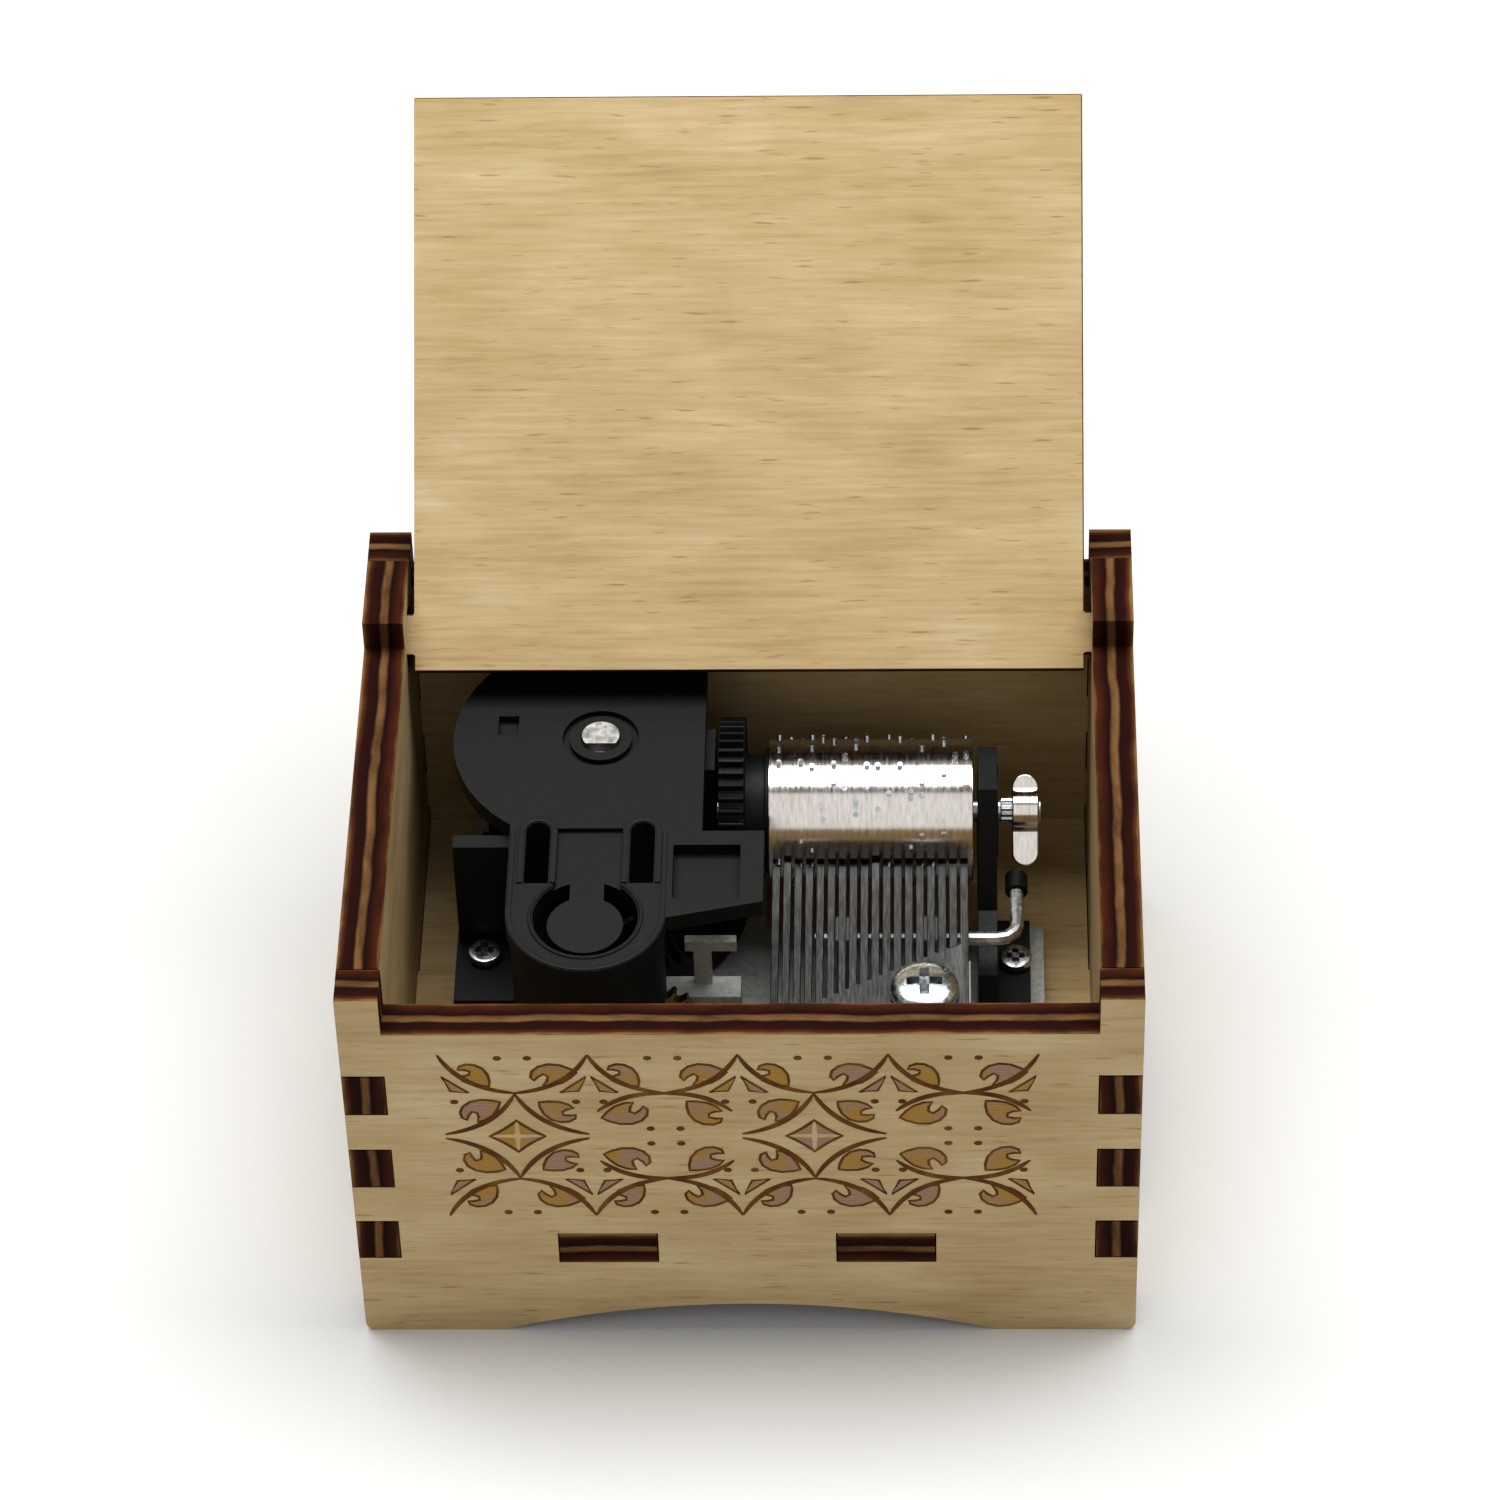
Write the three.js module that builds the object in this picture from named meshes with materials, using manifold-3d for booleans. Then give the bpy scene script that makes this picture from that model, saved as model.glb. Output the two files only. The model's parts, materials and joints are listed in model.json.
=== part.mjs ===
// Wind-up music box: a finger-jointed plywood case with a tilting lid, and a spring-driven comb movement.
// Millimetres, +Z up. Until the last lines the case's front face is y = 0, x = 0 is its middle,
// and z = 0 is the table. The last lines put the origin under the middle of the whole object.
import * as THREE from "three";
import { mergeVertices } from "three/addons/utils/BufferGeometryUtils.js";
import Module from "manifold-3d";

const wasm = await Module();
wasm.setup();

// ---------- driving dimensions: case ----------
const innerWidth = 57.2; // between the side panels
const frontRoom = 1.0; // front panel to the bedplate
const backRoom = 1.7; // bedplate to the back panel
const panel = 3.4; // plywood thickness
const jointGap = 0.1; // air between two panels that touch
const earRise = 2.9; // rear ears and the back panel's corners, above the case height
const earLength = 7.6; // ear, from its front to the back panel
const postWidth = 3.5; // front post beside the lid's notch
const lidSeatDepth = 4.0; // front notch, down from the posts' top
const backRestDrop = 0.5; // back panel's middle, below the case height
const floorUnderside = 8.75; // free height for the key
const fingerStart = 9.3; // lowest finger of the corner joints
const fingerPitch = 4.42;
const fingerSteps = 5;
const tabWidth = 8.0;
const tabOffset = 11.4; // floor tabs, from the middle
const archSpan = 41; // foot arch, one circular arc
const archHeight = 3.3;
const sideArchSpan = 27;
const footRadius = 1.0;

// ---------- driving dimensions: lid ----------
const lidClearance = 0.6; // to each side panel
const lidOverhang = 1.7; // closed lid, past the front face
const lidSwing = 3.5; // from the pivot to the corners of the lid's rear edge
const pivotSetback = 4.2; // from the pivot to the back panel's front face
const pivotDrop = 1.9; // below the case height
const pivotPlay = 0.1; // round hole around the square lug's corners
const restGap = 0.15; // leaning lid to the back panel's edge

// ---------- driving dimensions: movement ----------
const seatGap = 0.3; // between pieces that rest on each other
const runningGap = 0.06; // radial clearance of a shaft in its hole
const bedplateThickness = 2.0;
const bedReach = 30.5; // bedplate's front edge, in front of the spring arbor
const movementHeight = 22.35; // underside of the bedplate to the top of the housing
const movementHeadroom = 0.2; // top of the housing to the swing of the lid's rear edge
const arborX = -12.3; // spring arbor, the middle of the housing's round lobe
const arborRadius = 1.6;
const lobeMargin = 0.4; // housing's round lobe, past the crown wheel below it
const lobeGap = 0.4; // lobe to the back panel
const housingPlate = 1.6;
const drumWall = 0.8;
const cylinderDrop = 8.7; // cylinder axis, below the top of the housing
const cylinderRadius = 6.0;
const cylinderWall = 0.6;
const pinRadius = 0.2;
const pinHeight = 0.35;
const pinsPerTrack = 4;
const shaftRadius = 1.05;
const bearingThickness = 1.6; // right bracket
const dogWidth = 2.2;
const combTeeth = 18;
const combPitch = 0.92;
const combSlot = 0.34;
const combThickness = 1.0;
const combTipGap = 0.15; // pluck clearance, tip to the pins' path
const shortToothLength = 8.6;
const longToothLength = 17.2;
const governorX = -12.85; // worm axis
const governorFromArbor = 20.0; // worm axis, in front of the arbor
const governorRadius = 6.55; // round front of the housing
const axleRadius = 0.45; // governor axle and worm shaft
const armEnd = 1.5; // right end of the housing's arm
const towerWall = 0.8;
const toothPitch = 1.07; // of the crown wheel at its middle radius
const crownTeeth = 64;
const crownFace = 2.0;
const gearFace = 2.1;
const cheekThickness = 1.05;
const cylinderGearTeeth = 44;
const pinionTeeth = 12;
const wormStarts = 2;
const wormWheelTeeth = 16;
const wormRadius = 1.5;
const wormPitch = 1.36; // tooth pitch of the worm wheel
const toothDepth = 0.7;
const meshDepth = 0.35; // how far teeth reach into each other's gaps
const keySpan = 17;
const keyThickness = 1.8;

// ---------- sizes that follow ----------
const caseWidth = innerWidth + 2 * panel;
const crownRadius = (toothPitch * crownTeeth) / (2 * Math.PI);
const crownOuter = crownRadius + crownFace / 2;
const lobeRadius = crownOuter + lobeMargin;
const arborY = panel + frontRoom + bedReach;
const backFace = arborY + lobeRadius + lobeGap; // front face of the back panel
const caseDepth = backFace + panel;
const floorTop = floorUnderside + panel;
const pivotY = backFace - pivotSetback;
const bedBottom = floorTop + seatGap;
const bedTop = bedBottom + bedplateThickness;
const housingTop = bedBottom + movementHeight;
const pivotZ = housingTop + movementHeadroom + lidSwing;
const caseHeight = pivotZ + pivotDrop;
const earHeight = caseHeight + earRise;
const backRestZ = caseHeight - backRestDrop;
const lidTail = Math.sqrt(lidSwing ** 2 - (panel / 2) ** 2); // from the pivot to the lid's rear edge
const lidLength = pivotY + lidOverhang + lidTail;
const housingUnder = housingTop - housingPlate;
const governorY = arborY - governorFromArbor;
const cylinderZ = housingTop - cylinderDrop;
const gearPitchRadius = (toothPitch * cylinderGearTeeth) / (2 * Math.PI);
const gearTipRadius = gearPitchRadius + meshDepth;
const crownTop = cylinderZ - gearPitchRadius;
const pinionPitchRadius = (toothPitch * pinionTeeth) / (2 * Math.PI);
const pinionTipRadius = pinionPitchRadius + meshDepth;
const axleZ = crownTop + pinionPitchRadius;
const wheelPitchRadius = (wormPitch * wormWheelTeeth) / (2 * Math.PI);
const wheelTipRadius = wheelPitchRadius + meshDepth;
const wormDistance = wheelPitchRadius + wormRadius;
const wormLead = wormPitch * wormStarts;

// Along X: drum, bearing cheek, gear over the crown wheel's teeth, cylinder, bracket, stop dog.
const gearLeft = arborX + crownRadius - (gearFace + 0.1) / 2;
const gearRight = gearLeft + gearFace;
const cheekRight = gearLeft - seatGap;
const cheekLeft = cheekRight - cheekThickness;
const drumRadius = cheekLeft - 0.25 - arborX;
const housingFlat = drumRadius + 0.5; // arbor to the housing's flat right side
const cylinderStart = gearRight + 2.0;
const combFirstTooth = cylinderStart + 0.7;
const cylinderLength = (combTeeth - 1) * combPitch + 1.45;
const bracketLeft = cylinderStart + cylinderLength + 0.4;
const bracketRight = bracketLeft + bearingThickness;
const dogLeft = bracketRight + 1.3;
const dogRight = dogLeft + dogWidth;
const shaftEnd = dogRight + 0.2;

// The bedplate reaches a little past the stop dog, the foot of the housing and the comb.
const bedRight = shaftEnd + 0.3;
const bedLeft = governorX - governorRadius - 5.4;
const bedFront = arborY - bedReach;
const bedRightBack = arborY - 2.6;
const bedBack = backFace - backRoom;
const combFront = bedFront + 0.5;

// The governor axle points straight out from the arbor and passes the worm at wormDistance.
const toWorm = new THREE.Vector2(governorX - arborX, governorY - arborY);
const axleTurn = Math.asin(wormDistance / toWorm.length());
const axleReach = toWorm.length() * Math.cos(axleTurn);
const axleAzimuth = toWorm.angle() + axleTurn;
const axleDirection = new THREE.Vector3(Math.cos(axleAzimuth), Math.sin(axleAzimuth), 0);

// ---------- materials ----------
function finish(color, roughness, metalness) {
  return new THREE.MeshStandardMaterial({ color, roughness, metalness });
}

const plywood = finish(0xc8b285, 0.75, 0);
const blackPlastic = finish(0x2b2d2e, 0.55, 0);
const nickel = finish(0xd8d2cc, 0.22, 1);
const combSteel = finish(0x8b8880, 0.38, 1);
const castZinc = finish(0x8a8c89, 0.5, 1);
const springSteel = finish(0x54565c, 0.35, 1);
const zincScrew = finish(0xb9bcbe, 0.28, 1);
const brass = finish(0xb08d4c, 0.35, 1);

// ---------- solids ----------
function solidOf(geometry) {
  const bare = geometry.clone();
  bare.deleteAttribute("normal");
  bare.deleteAttribute("uv");
  const merged = mergeVertices(bare, 1e-4);
  return new wasm.Manifold(
    new wasm.Mesh({
      numProp: 3,
      vertProperties: merged.attributes.position.array,
      triVerts: new Uint32Array(merged.index.array),
    }),
  );
}

function geometryOf(solid) {
  const mesh = solid.getMesh();
  const geometry = new THREE.BufferGeometry();
  geometry.setAttribute("position", new THREE.BufferAttribute(mesh.vertProperties, 3));
  geometry.setIndex(new THREE.BufferAttribute(mesh.triVerts, 1));
  geometry.computeVertexNormals();
  return geometry;
}

const join = (...solids) => solids.reduce((whole, next) => whole.add(next));
const cut = (solid, ...tools) => tools.reduce((rest, tool) => rest.subtract(tool), solid);

function block(x0, x1, y0, y1, z0, z1) {
  const box = new THREE.BoxGeometry(x1 - x0, y1 - y0, z1 - z0);
  return solidOf(box.translate((x0 + x1) / 2, (y0 + y1) / 2, (z0 + z1) / 2));
}

function pillar(x, y, radius, z0, z1, sides = 32) {
  const drum = new THREE.CylinderGeometry(radius, radius, z1 - z0, sides).rotateX(Math.PI / 2);
  return solidOf(drum.translate(x, y, (z0 + z1) / 2));
}

// A disc or bar whose axis runs along +X.
function bar(y, z, radius, x0, x1, sides = 32) {
  const drum = new THREE.CylinderGeometry(radius, radius, x1 - x0, sides).rotateZ(Math.PI / 2);
  return solidOf(drum.translate((x0 + x1) / 2, y, z));
}

// A turned piece on an axis along +X; its profile is a list of [radius, x] from axis to axis.
function turnedAlongX(profile, y, z, sides) {
  const points = profile.map(([radius, x]) => new THREE.Vector2(radius, x));
  const piece = new THREE.LatheGeometry(points, sides).rotateZ(-Math.PI / 2);
  return solidOf(piece.translate(0, y, z));
}

// An outline is a THREE.Shape, or a list of its corners.
function shapeOf(outline) {
  if (!Array.isArray(outline)) return outline;
  return new THREE.Shape(outline.map(([a, b]) => new THREE.Vector2(a, b)));
}

// An outline in X and Y, raised from z0 to z1.
function slab(outline, z0, z1, curveSegments = 8) {
  const shape = shapeOf(outline);
  const raised = new THREE.ExtrudeGeometry(shape, { depth: z1 - z0, bevelEnabled: false, curveSegments });
  return solidOf(raised.translate(0, 0, z0));
}

// An outline in Y and Z, drawn out along X from x0 to x1.
function sideSlab(outline, x0, x1, curveSegments = 8) {
  const shape = shapeOf(outline);
  const raised = new THREE.ExtrudeGeometry(shape, { depth: x1 - x0, bevelEnabled: false, curveSegments });
  const alongX = new THREE.Matrix4().makeBasis(
    new THREE.Vector3(0, 1, 0),
    new THREE.Vector3(0, 0, 1),
    new THREE.Vector3(1, 0, 0),
  );
  return solidOf(raised.applyMatrix4(alongX).translate(x0, 0, 0));
}

// A wheel outline with straight-flanked teeth; one gap's middle lies at gapAngle.
function toothedOutline(teeth, tipRadius, gapAngle) {
  const pitch = (2 * Math.PI) / teeth;
  const rootRadius = tipRadius - toothDepth;
  const rootHalf = 0.22 * pitch;
  const tipHalf = 0.12 * pitch;
  const points = [];
  for (let k = 0; k < teeth; k++) {
    const middle = gapAngle + (k + 0.5) * pitch;
    points.push(new THREE.Vector2(rootRadius, 0).rotateAround(new THREE.Vector2(), middle - rootHalf));
    points.push(new THREE.Vector2(tipRadius, 0).rotateAround(new THREE.Vector2(), middle - tipHalf));
    points.push(new THREE.Vector2(tipRadius, 0).rotateAround(new THREE.Vector2(), middle + tipHalf));
    points.push(new THREE.Vector2(rootRadius, 0).rotateAround(new THREE.Vector2(), middle + rootHalf));
  }
  return new THREE.Shape(points);
}

// An outline drawn along +Z from z0 to z1 while it turns by turnPerMm.
function twisted(shape, z0, z1, steps, turnPerMm) {
  const raised = new THREE.ExtrudeGeometry(shape, { depth: z1 - z0, steps, bevelEnabled: false });
  raised.translate(0, 0, z0);
  const position = raised.attributes.position;
  const point = new THREE.Vector3();
  const axis = new THREE.Vector3(0, 0, 1);
  for (let i = 0; i < position.count; i++) {
    point.fromBufferAttribute(position, i).applyAxisAngle(axis, point.z * turnPerMm);
    position.setXYZ(i, point.x, point.y, point.z);
  }
  return solidOf(raised);
}

// Local X, Y and Z of a wheel become a sideways direction, world Z and the wheel's axis.
function axleFrame(axis, x, y, z) {
  const up = new THREE.Vector3(0, 0, 1);
  const sideways = new THREE.Vector3().crossVectors(up, axis);
  return new THREE.Matrix4().makeBasis(sideways, up, axis).setPosition(x, y, z);
}

const placed = (solid, matrix) => solidOf(geometryOf(solid).applyMatrix4(matrix));

const model = new THREE.Group();

function addNode(name, solid, material, group = model) {
  const mesh = new THREE.Mesh(geometryOf(solid), material);
  mesh.name = name;
  group.add(mesh);
  return mesh;
}

// ---------- case ----------
// Foot arch: one flat circular arc over the span, closed below the table.
function archOutline(middle, span, height) {
  const half = span / 2;
  const radius = (half ** 2 + height ** 2) / (2 * height);
  const spread = Math.asin(half / radius);
  const arch = new THREE.Shape();
  arch.moveTo(middle + half, -1);
  arch.absarc(middle, height - radius, radius, Math.PI / 2 - spread, Math.PI / 2 + spread, false);
  arch.lineTo(middle - half, -1);
  return arch;
}

// An outline in X and Z, one panel thick, with its front face at y0.
function standing(outline, y0, overrun = 0) {
  const upright = new THREE.Matrix4().makeBasis(
    new THREE.Vector3(1, 0, 0),
    new THREE.Vector3(0, 0, 1),
    new THREE.Vector3(0, -1, 0),
  );
  return placed(slab(outline, -overrun, panel + overrun), upright.setPosition(0, y0 + panel, 0));
}

// Heights of the side panels' fingers, as [bottom, top].
function fingerHeights() {
  const heights = [];
  for (let k = 0; k < fingerSteps; k += 2) {
    heights.push([fingerStart + k * fingerPitch, fingerStart + (k + 1) * fingerPitch]);
  }
  return heights;
}

// Sockets that the side panels' fingers and the floor's tabs fill in the front or back panel.
function crossPanelSockets(y0, y1) {
  const tools = [];
  for (const side of [-1, 1]) {
    const outer = side * (caseWidth / 2 + 1);
    const inner = side * (innerWidth / 2 - jointGap);
    for (const [low, high] of fingerHeights()) {
      const [x0, x1] = [Math.min(outer, inner), Math.max(outer, inner)];
      tools.push(block(x0, x1, y0, y1, low - jointGap, high + jointGap));
    }
    const middle = side * tabOffset;
    const half = tabWidth / 2 + jointGap;
    tools.push(block(middle - half, middle + half, y0, y1, floorUnderside - jointGap, floorTop + jointGap));
  }
  return tools;
}

// Front or back panel: high corners, a lower middle, a foot arch and the sockets.
function crossPanel(y0, cornerZ, middleZ) {
  const half = caseWidth / 2;
  const notch = half - postWidth;
  const outline = new THREE.Shape();
  outline.moveTo(-half + footRadius, 0);
  outline.lineTo(half - footRadius, 0);
  outline.quadraticCurveTo(half, 0, half, footRadius);
  outline.lineTo(half, cornerZ);
  outline.lineTo(notch, cornerZ);
  outline.lineTo(notch, middleZ);
  outline.lineTo(-notch, middleZ);
  outline.lineTo(-notch, cornerZ);
  outline.lineTo(-half, cornerZ);
  outline.lineTo(-half, footRadius);
  outline.quadraticCurveTo(-half, 0, -half + footRadius, 0);
  const arch = standing(archOutline(0, archSpan, archHeight), y0, 1);
  return cut(standing(outline, y0), arch, ...crossPanelSockets(y0 - 1, y0 + panel + 1));
}

function sidePanel(side) {
  const front = panel + jointGap;
  const back = backFace - jointGap;
  const body = sideSlab(
    [
      [front, 0],
      [back, 0],
      [back, earHeight],
      [back - earLength, earHeight],
      [back - earLength, caseHeight],
      [front, caseHeight],
    ],
    0,
    panel,
  );
  const fingers = fingerHeights().flatMap(([low, high]) => [
    block(0, panel, 0, front + 1, low, high),
    block(0, panel, back - 1, caseDepth, low, high),
  ]);
  const tabMiddle = (panel + backFace) / 2;
  const half = tabWidth / 2 + jointGap;
  const [socketLow, socketHigh] = [floorUnderside - jointGap, floorTop + jointGap];
  const socket = block(-1, panel + 1, tabMiddle - half, tabMiddle + half, socketLow, socketHigh);
  const pivotHole = bar(pivotY, pivotZ, panel * Math.SQRT1_2 + pivotPlay, -1, panel + 1);
  const arch = sideSlab(archOutline(tabMiddle, sideArchSpan, archHeight), -1, panel + 1);
  const flat = cut(join(body, ...fingers), socket, pivotHole, arch);
  const x = side < 0 ? -caseWidth / 2 : caseWidth / 2 - panel;
  return placed(flat, new THREE.Matrix4().makeTranslation(x, 0, 0));
}

const mountingScrews = [
  [bedLeft + 4.3, bedFront + 5.6],
  [bedRight - 4.2, bedFront + 4.6],
  [bedRight - 3.2, bedRightBack - 3.3],
];
const mountingScrewRadius = 1.1;

function floorPanel() {
  const half = innerWidth / 2 - jointGap;
  const base = block(-half, half, panel + jointGap, backFace - jointGap, floorUnderside, floorTop);
  const tabs = [-tabOffset, tabOffset].map((middle) =>
    block(middle - tabWidth / 2, middle + tabWidth / 2, 0, caseDepth, floorUnderside, floorTop),
  );
  const tabMiddle = (panel + backFace) / 2;
  const reach = caseWidth / 2;
  const tabHalf = tabWidth / 2;
  const sideTab = block(-reach, reach, tabMiddle - tabHalf, tabMiddle + tabHalf, floorUnderside, floorTop);
  const stemHole = pillar(arborX, arborY, arborRadius + 1.2, floorUnderside - 1, floorTop + 1);
  const screwHoles = mountingScrews.map(([x, y]) =>
    pillar(x, y, mountingScrewRadius + 0.3, floorUnderside - 1, floorTop + 1, 20),
  );
  return cut(join(base, ...tabs, sideTab), stemHole, ...screwHoles);
}

// Lean of the open lid from upright: its outer face meets the back panel's top front edge.
const restRise = backRestZ - pivotZ;
const restDistance = Math.hypot(pivotSetback, restRise);
const lidLean = Math.acos((panel / 2 + restGap) / restDistance) - Math.atan2(restRise, pivotSetback);
const lidOpening = Math.PI / 2 + lidLean;

function lidPanel() {
  const half = innerWidth / 2 - lidClearance;
  const sheet = block(-half, half, lidTail - lidLength, lidTail, -panel / 2, panel / 2);
  const reach = caseWidth / 2 - jointGap;
  const lugs = block(-reach, reach, -panel / 2, panel / 2, -panel / 2, panel / 2);
  return join(sheet, lugs);
}

function buildCase() {
  addNode("front_panel", crossPanel(0, caseHeight, caseHeight - lidSeatDepth), plywood);
  addNode("back_panel", crossPanel(backFace, earHeight, backRestZ), plywood);
  addNode("left_panel", sidePanel(-1), plywood);
  addNode("right_panel", sidePanel(1), plywood);
  addNode("floor_panel", floorPanel(), plywood);
  const lid = addNode("lid", lidPanel(), plywood);
  lid.position.set(0, pivotY, pivotZ);
  lid.rotation.x = -lidOpening;
}

// ---------- comb and bedplate ----------
const combTipY = arborY - cylinderRadius - pinHeight - combTipGap;
const combTop = cylinderZ;
const combUnder = combTop - combThickness;
const seatTop = combUnder - seatGap;
const combLeft = combFirstTooth - combPitch / 2;
const combRight = combLeft + combTeeth * combPitch;
const combScrewRadius = 1.25;
const screwHeadRadius = 2.8;
const screwHeadHeight = 1.5;

function toothRoot(index) {
  return combTipY - THREE.MathUtils.lerp(longToothLength, shortToothLength, index / (combTeeth - 1));
}

const combScrews = [
  [combRight - 3.8, toothRoot(combTeeth - 1) - 6.0],
  [combLeft + 2.76, toothRoot(0) - 3.3],
];

function comb() {
  const outline = new THREE.Shape();
  outline.moveTo(combLeft + combSlot / 2, combFront);
  outline.lineTo(combRight - combSlot / 2, combFront);
  outline.lineTo(combRight - combSlot / 2, combTipY);
  for (let k = combTeeth - 1; k > 0; k--) {
    const slot = combLeft + k * combPitch;
    const root = toothRoot(k - 0.5);
    outline.lineTo(slot + combSlot / 2, combTipY);
    outline.lineTo(slot + combSlot / 2, root);
    outline.lineTo(slot - combSlot / 2, root);
    outline.lineTo(slot - combSlot / 2, combTipY);
  }
  outline.lineTo(combLeft + combSlot / 2, combTipY);
  const holes = combScrews.map(([x, y]) =>
    pillar(x, y, combScrewRadius + 0.15, combUnder - 1, combTop + 1, 20),
  );
  return cut(slab(outline, combUnder, combTop), ...holes);
}

const holderX = combLeft + 6.16;
const holderSpacing = 7;
const wireY = arborY - 12.4;
const wireRadius = 0.6;
const wireZ = combUnder - 1.6;
const bridgeReach = 22.3; // axle's outer bearing, from the arbor

function bedplate() {
  const round = 2.5;
  const bedStep = gearRight + 1.45; // the plate is cut away behind the cylinder
  const outline = new THREE.Shape();
  outline.moveTo(bedLeft + round, bedFront);
  outline.lineTo(bedRight - round, bedFront);
  outline.quadraticCurveTo(bedRight, bedFront, bedRight, bedFront + round);
  outline.lineTo(bedRight, bedRightBack);
  outline.lineTo(bedStep, bedRightBack);
  outline.lineTo(bedStep, bedBack - round);
  outline.quadraticCurveTo(bedStep, bedBack, bedStep - round, bedBack);
  outline.lineTo(bedLeft + round, bedBack);
  outline.quadraticCurveTo(bedLeft, bedBack, bedLeft, bedBack - round);
  outline.lineTo(bedLeft, bedFront + round);
  outline.quadraticCurveTo(bedLeft, bedFront, bedLeft + round, bedFront);
  const plate = slab(outline, bedBottom, bedTop, 5);
  const seat = slab(
    [
      [combLeft, combFront],
      [combRight, combFront],
      [combRight, toothRoot(combTeeth - 1) - 1],
      [combLeft, toothRoot(0) - 0.8],
    ],
    bedTop - 0.5,
    seatTop,
  );
  const arborHole = pillar(arborX, arborY, arborRadius + runningGap, bedBottom - 1, bedTop + 1);
  const wormPivot = pillar(governorX, governorY, axleRadius + runningGap, bedTop - 0.8, bedTop + 1, 16);
  const combHoles = combScrews.map(([x, y]) =>
    pillar(x, y, combScrewRadius + 0.1, seatTop - 5, seatTop + 1, 20),
  );
  const screwHoles = mountingScrews.map(([x, y]) =>
    pillar(x, y, mountingScrewRadius + 0.1, bedBottom - 1, bedTop - 0.3, 20),
  );
  return cut(join(plate, seat), arborHole, wormPivot, ...combHoles, ...screwHoles);
}

// Pan head with a cross recess, shank downwards; headUnder is the underside of the head.
function crossScrew(x, y, headUnder, headRadius, headHeight, shankRadius, length) {
  const crown = new THREE.LatheGeometry(
    [
      new THREE.Vector2(0, 0),
      new THREE.Vector2(headRadius, 0),
      new THREE.Vector2(headRadius, headHeight * 0.45),
      new THREE.Vector2(headRadius * 0.72, headHeight * 0.88),
      new THREE.Vector2(0, headHeight),
    ],
    16,
  ).rotateX(Math.PI / 2);
  const head = solidOf(crown.translate(x, y, headUnder));
  const shank = pillar(x, y, shankRadius, headUnder - length, headUnder + 0.2, 12);
  const arm = headRadius * 0.55;
  const half = headRadius * 0.11;
  const top = headUnder + headHeight + 1;
  const low = headUnder + headHeight * 0.45;
  const recess = join(
    block(x - arm, x + arm, y - half, y + half, low, top),
    block(x - half, x + half, y - arm, y + arm, low, top),
  );
  return cut(join(head, shank), recess);
}

function buildCombAndBed() {
  addNode("bedplate", bedplate(), castZinc);
  addNode("comb", comb(), combSteel);
  const shankLength = combThickness + seatGap + 3.5;
  combScrews.forEach(([x, y], i) => {
    const seat = combTop + seatGap;
    const screw = crossScrew(x, y, seat, screwHeadRadius, screwHeadHeight, combScrewRadius, shankLength);
    addNode("comb_screw_" + (i + 1), screw, zincScrew);
  });
}

// ---------- spring, arbor and crown wheel ----------
const crownBodyTop = crownTop - meshDepth;
const crownBottom = bedTop + seatGap;
const ratchetRadius = 3.4;
const ratchetTeeth = 12;
const ratchetThickness = 1.0;
const drumBottom = crownTop + 0.9;

function crownWheel() {
  const disc = pillar(arborX, arborY, crownOuter, crownBottom, crownBodyTop - 0.35, 64);
  const rootHalf = 0.21 * toothPitch;
  const tipHalf = 0.12 * toothPitch;
  const low = crownBodyTop - 0.5;
  const high = crownTop + meshDepth;
  const toothShape = new THREE.Shape([
    new THREE.Vector2(-rootHalf, low),
    new THREE.Vector2(rootHalf, low),
    new THREE.Vector2(tipHalf, high),
    new THREE.Vector2(-tipHalf, high),
  ]);
  const rim = 0.1; // the teeth end this far inside the disc's edge
  const tooth = new THREE.ExtrudeGeometry(toothShape, { depth: crownFace - rim, bevelEnabled: false });
  let wheel = disc;
  for (let k = 0; k < crownTeeth; k++) {
    const azimuth = (k * 2 * Math.PI) / crownTeeth;
    const out = new THREE.Vector3(Math.cos(azimuth), Math.sin(azimuth), 0);
    const inner = crownRadius - crownFace / 2;
    const frame = axleFrame(out, arborX + out.x * inner, arborY + out.y * inner, 0);
    wheel = wheel.add(solidOf(tooth.clone().applyMatrix4(frame)));
  }
  const bore = pillar(arborX, arborY, arborRadius + runningGap, crownBottom - 1, crownTop + 1);
  return cut(wheel, bore);
}

function ratchetWheel(z0) {
  const points = [];
  for (let k = 0; k < ratchetTeeth; k++) {
    const angle = (k * 2 * Math.PI) / ratchetTeeth;
    points.push(new THREE.Vector2(ratchetRadius, 0).rotateAround(new THREE.Vector2(), angle));
    points.push(new THREE.Vector2(ratchetRadius - 0.6, 0).rotateAround(new THREE.Vector2(), angle + 0.06));
  }
  const wheel = slab(new THREE.Shape(points), z0, z0 + ratchetThickness);
  const centred = placed(wheel, new THREE.Matrix4().makeTranslation(arborX, arborY, 0));
  const bore = pillar(arborX, arborY, arborRadius, z0 - 1, z0 + ratchetThickness + 1);
  return cut(centred, bore);
}

// A leaf that stands on the crown wheel and bears on the ratchet's teeth.
function clickLeaf(z0) {
  const inner = ratchetRadius + 0.2;
  const reach = crownRadius - crownFace / 2 - 0.95;
  const leaf = [
    [inner, -0.3],
    [inner + 0.5, -0.9],
    [reach * Math.cos(0.51), reach * Math.sin(0.51)],
    [(reach - 0.24) * Math.cos(0.6), (reach - 0.24) * Math.sin(0.6)],
  ];
  const outline = leaf.map(([x, y]) => [arborX + x, arborY + y]);
  return slab(outline, z0, z0 + ratchetThickness);
}

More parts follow.
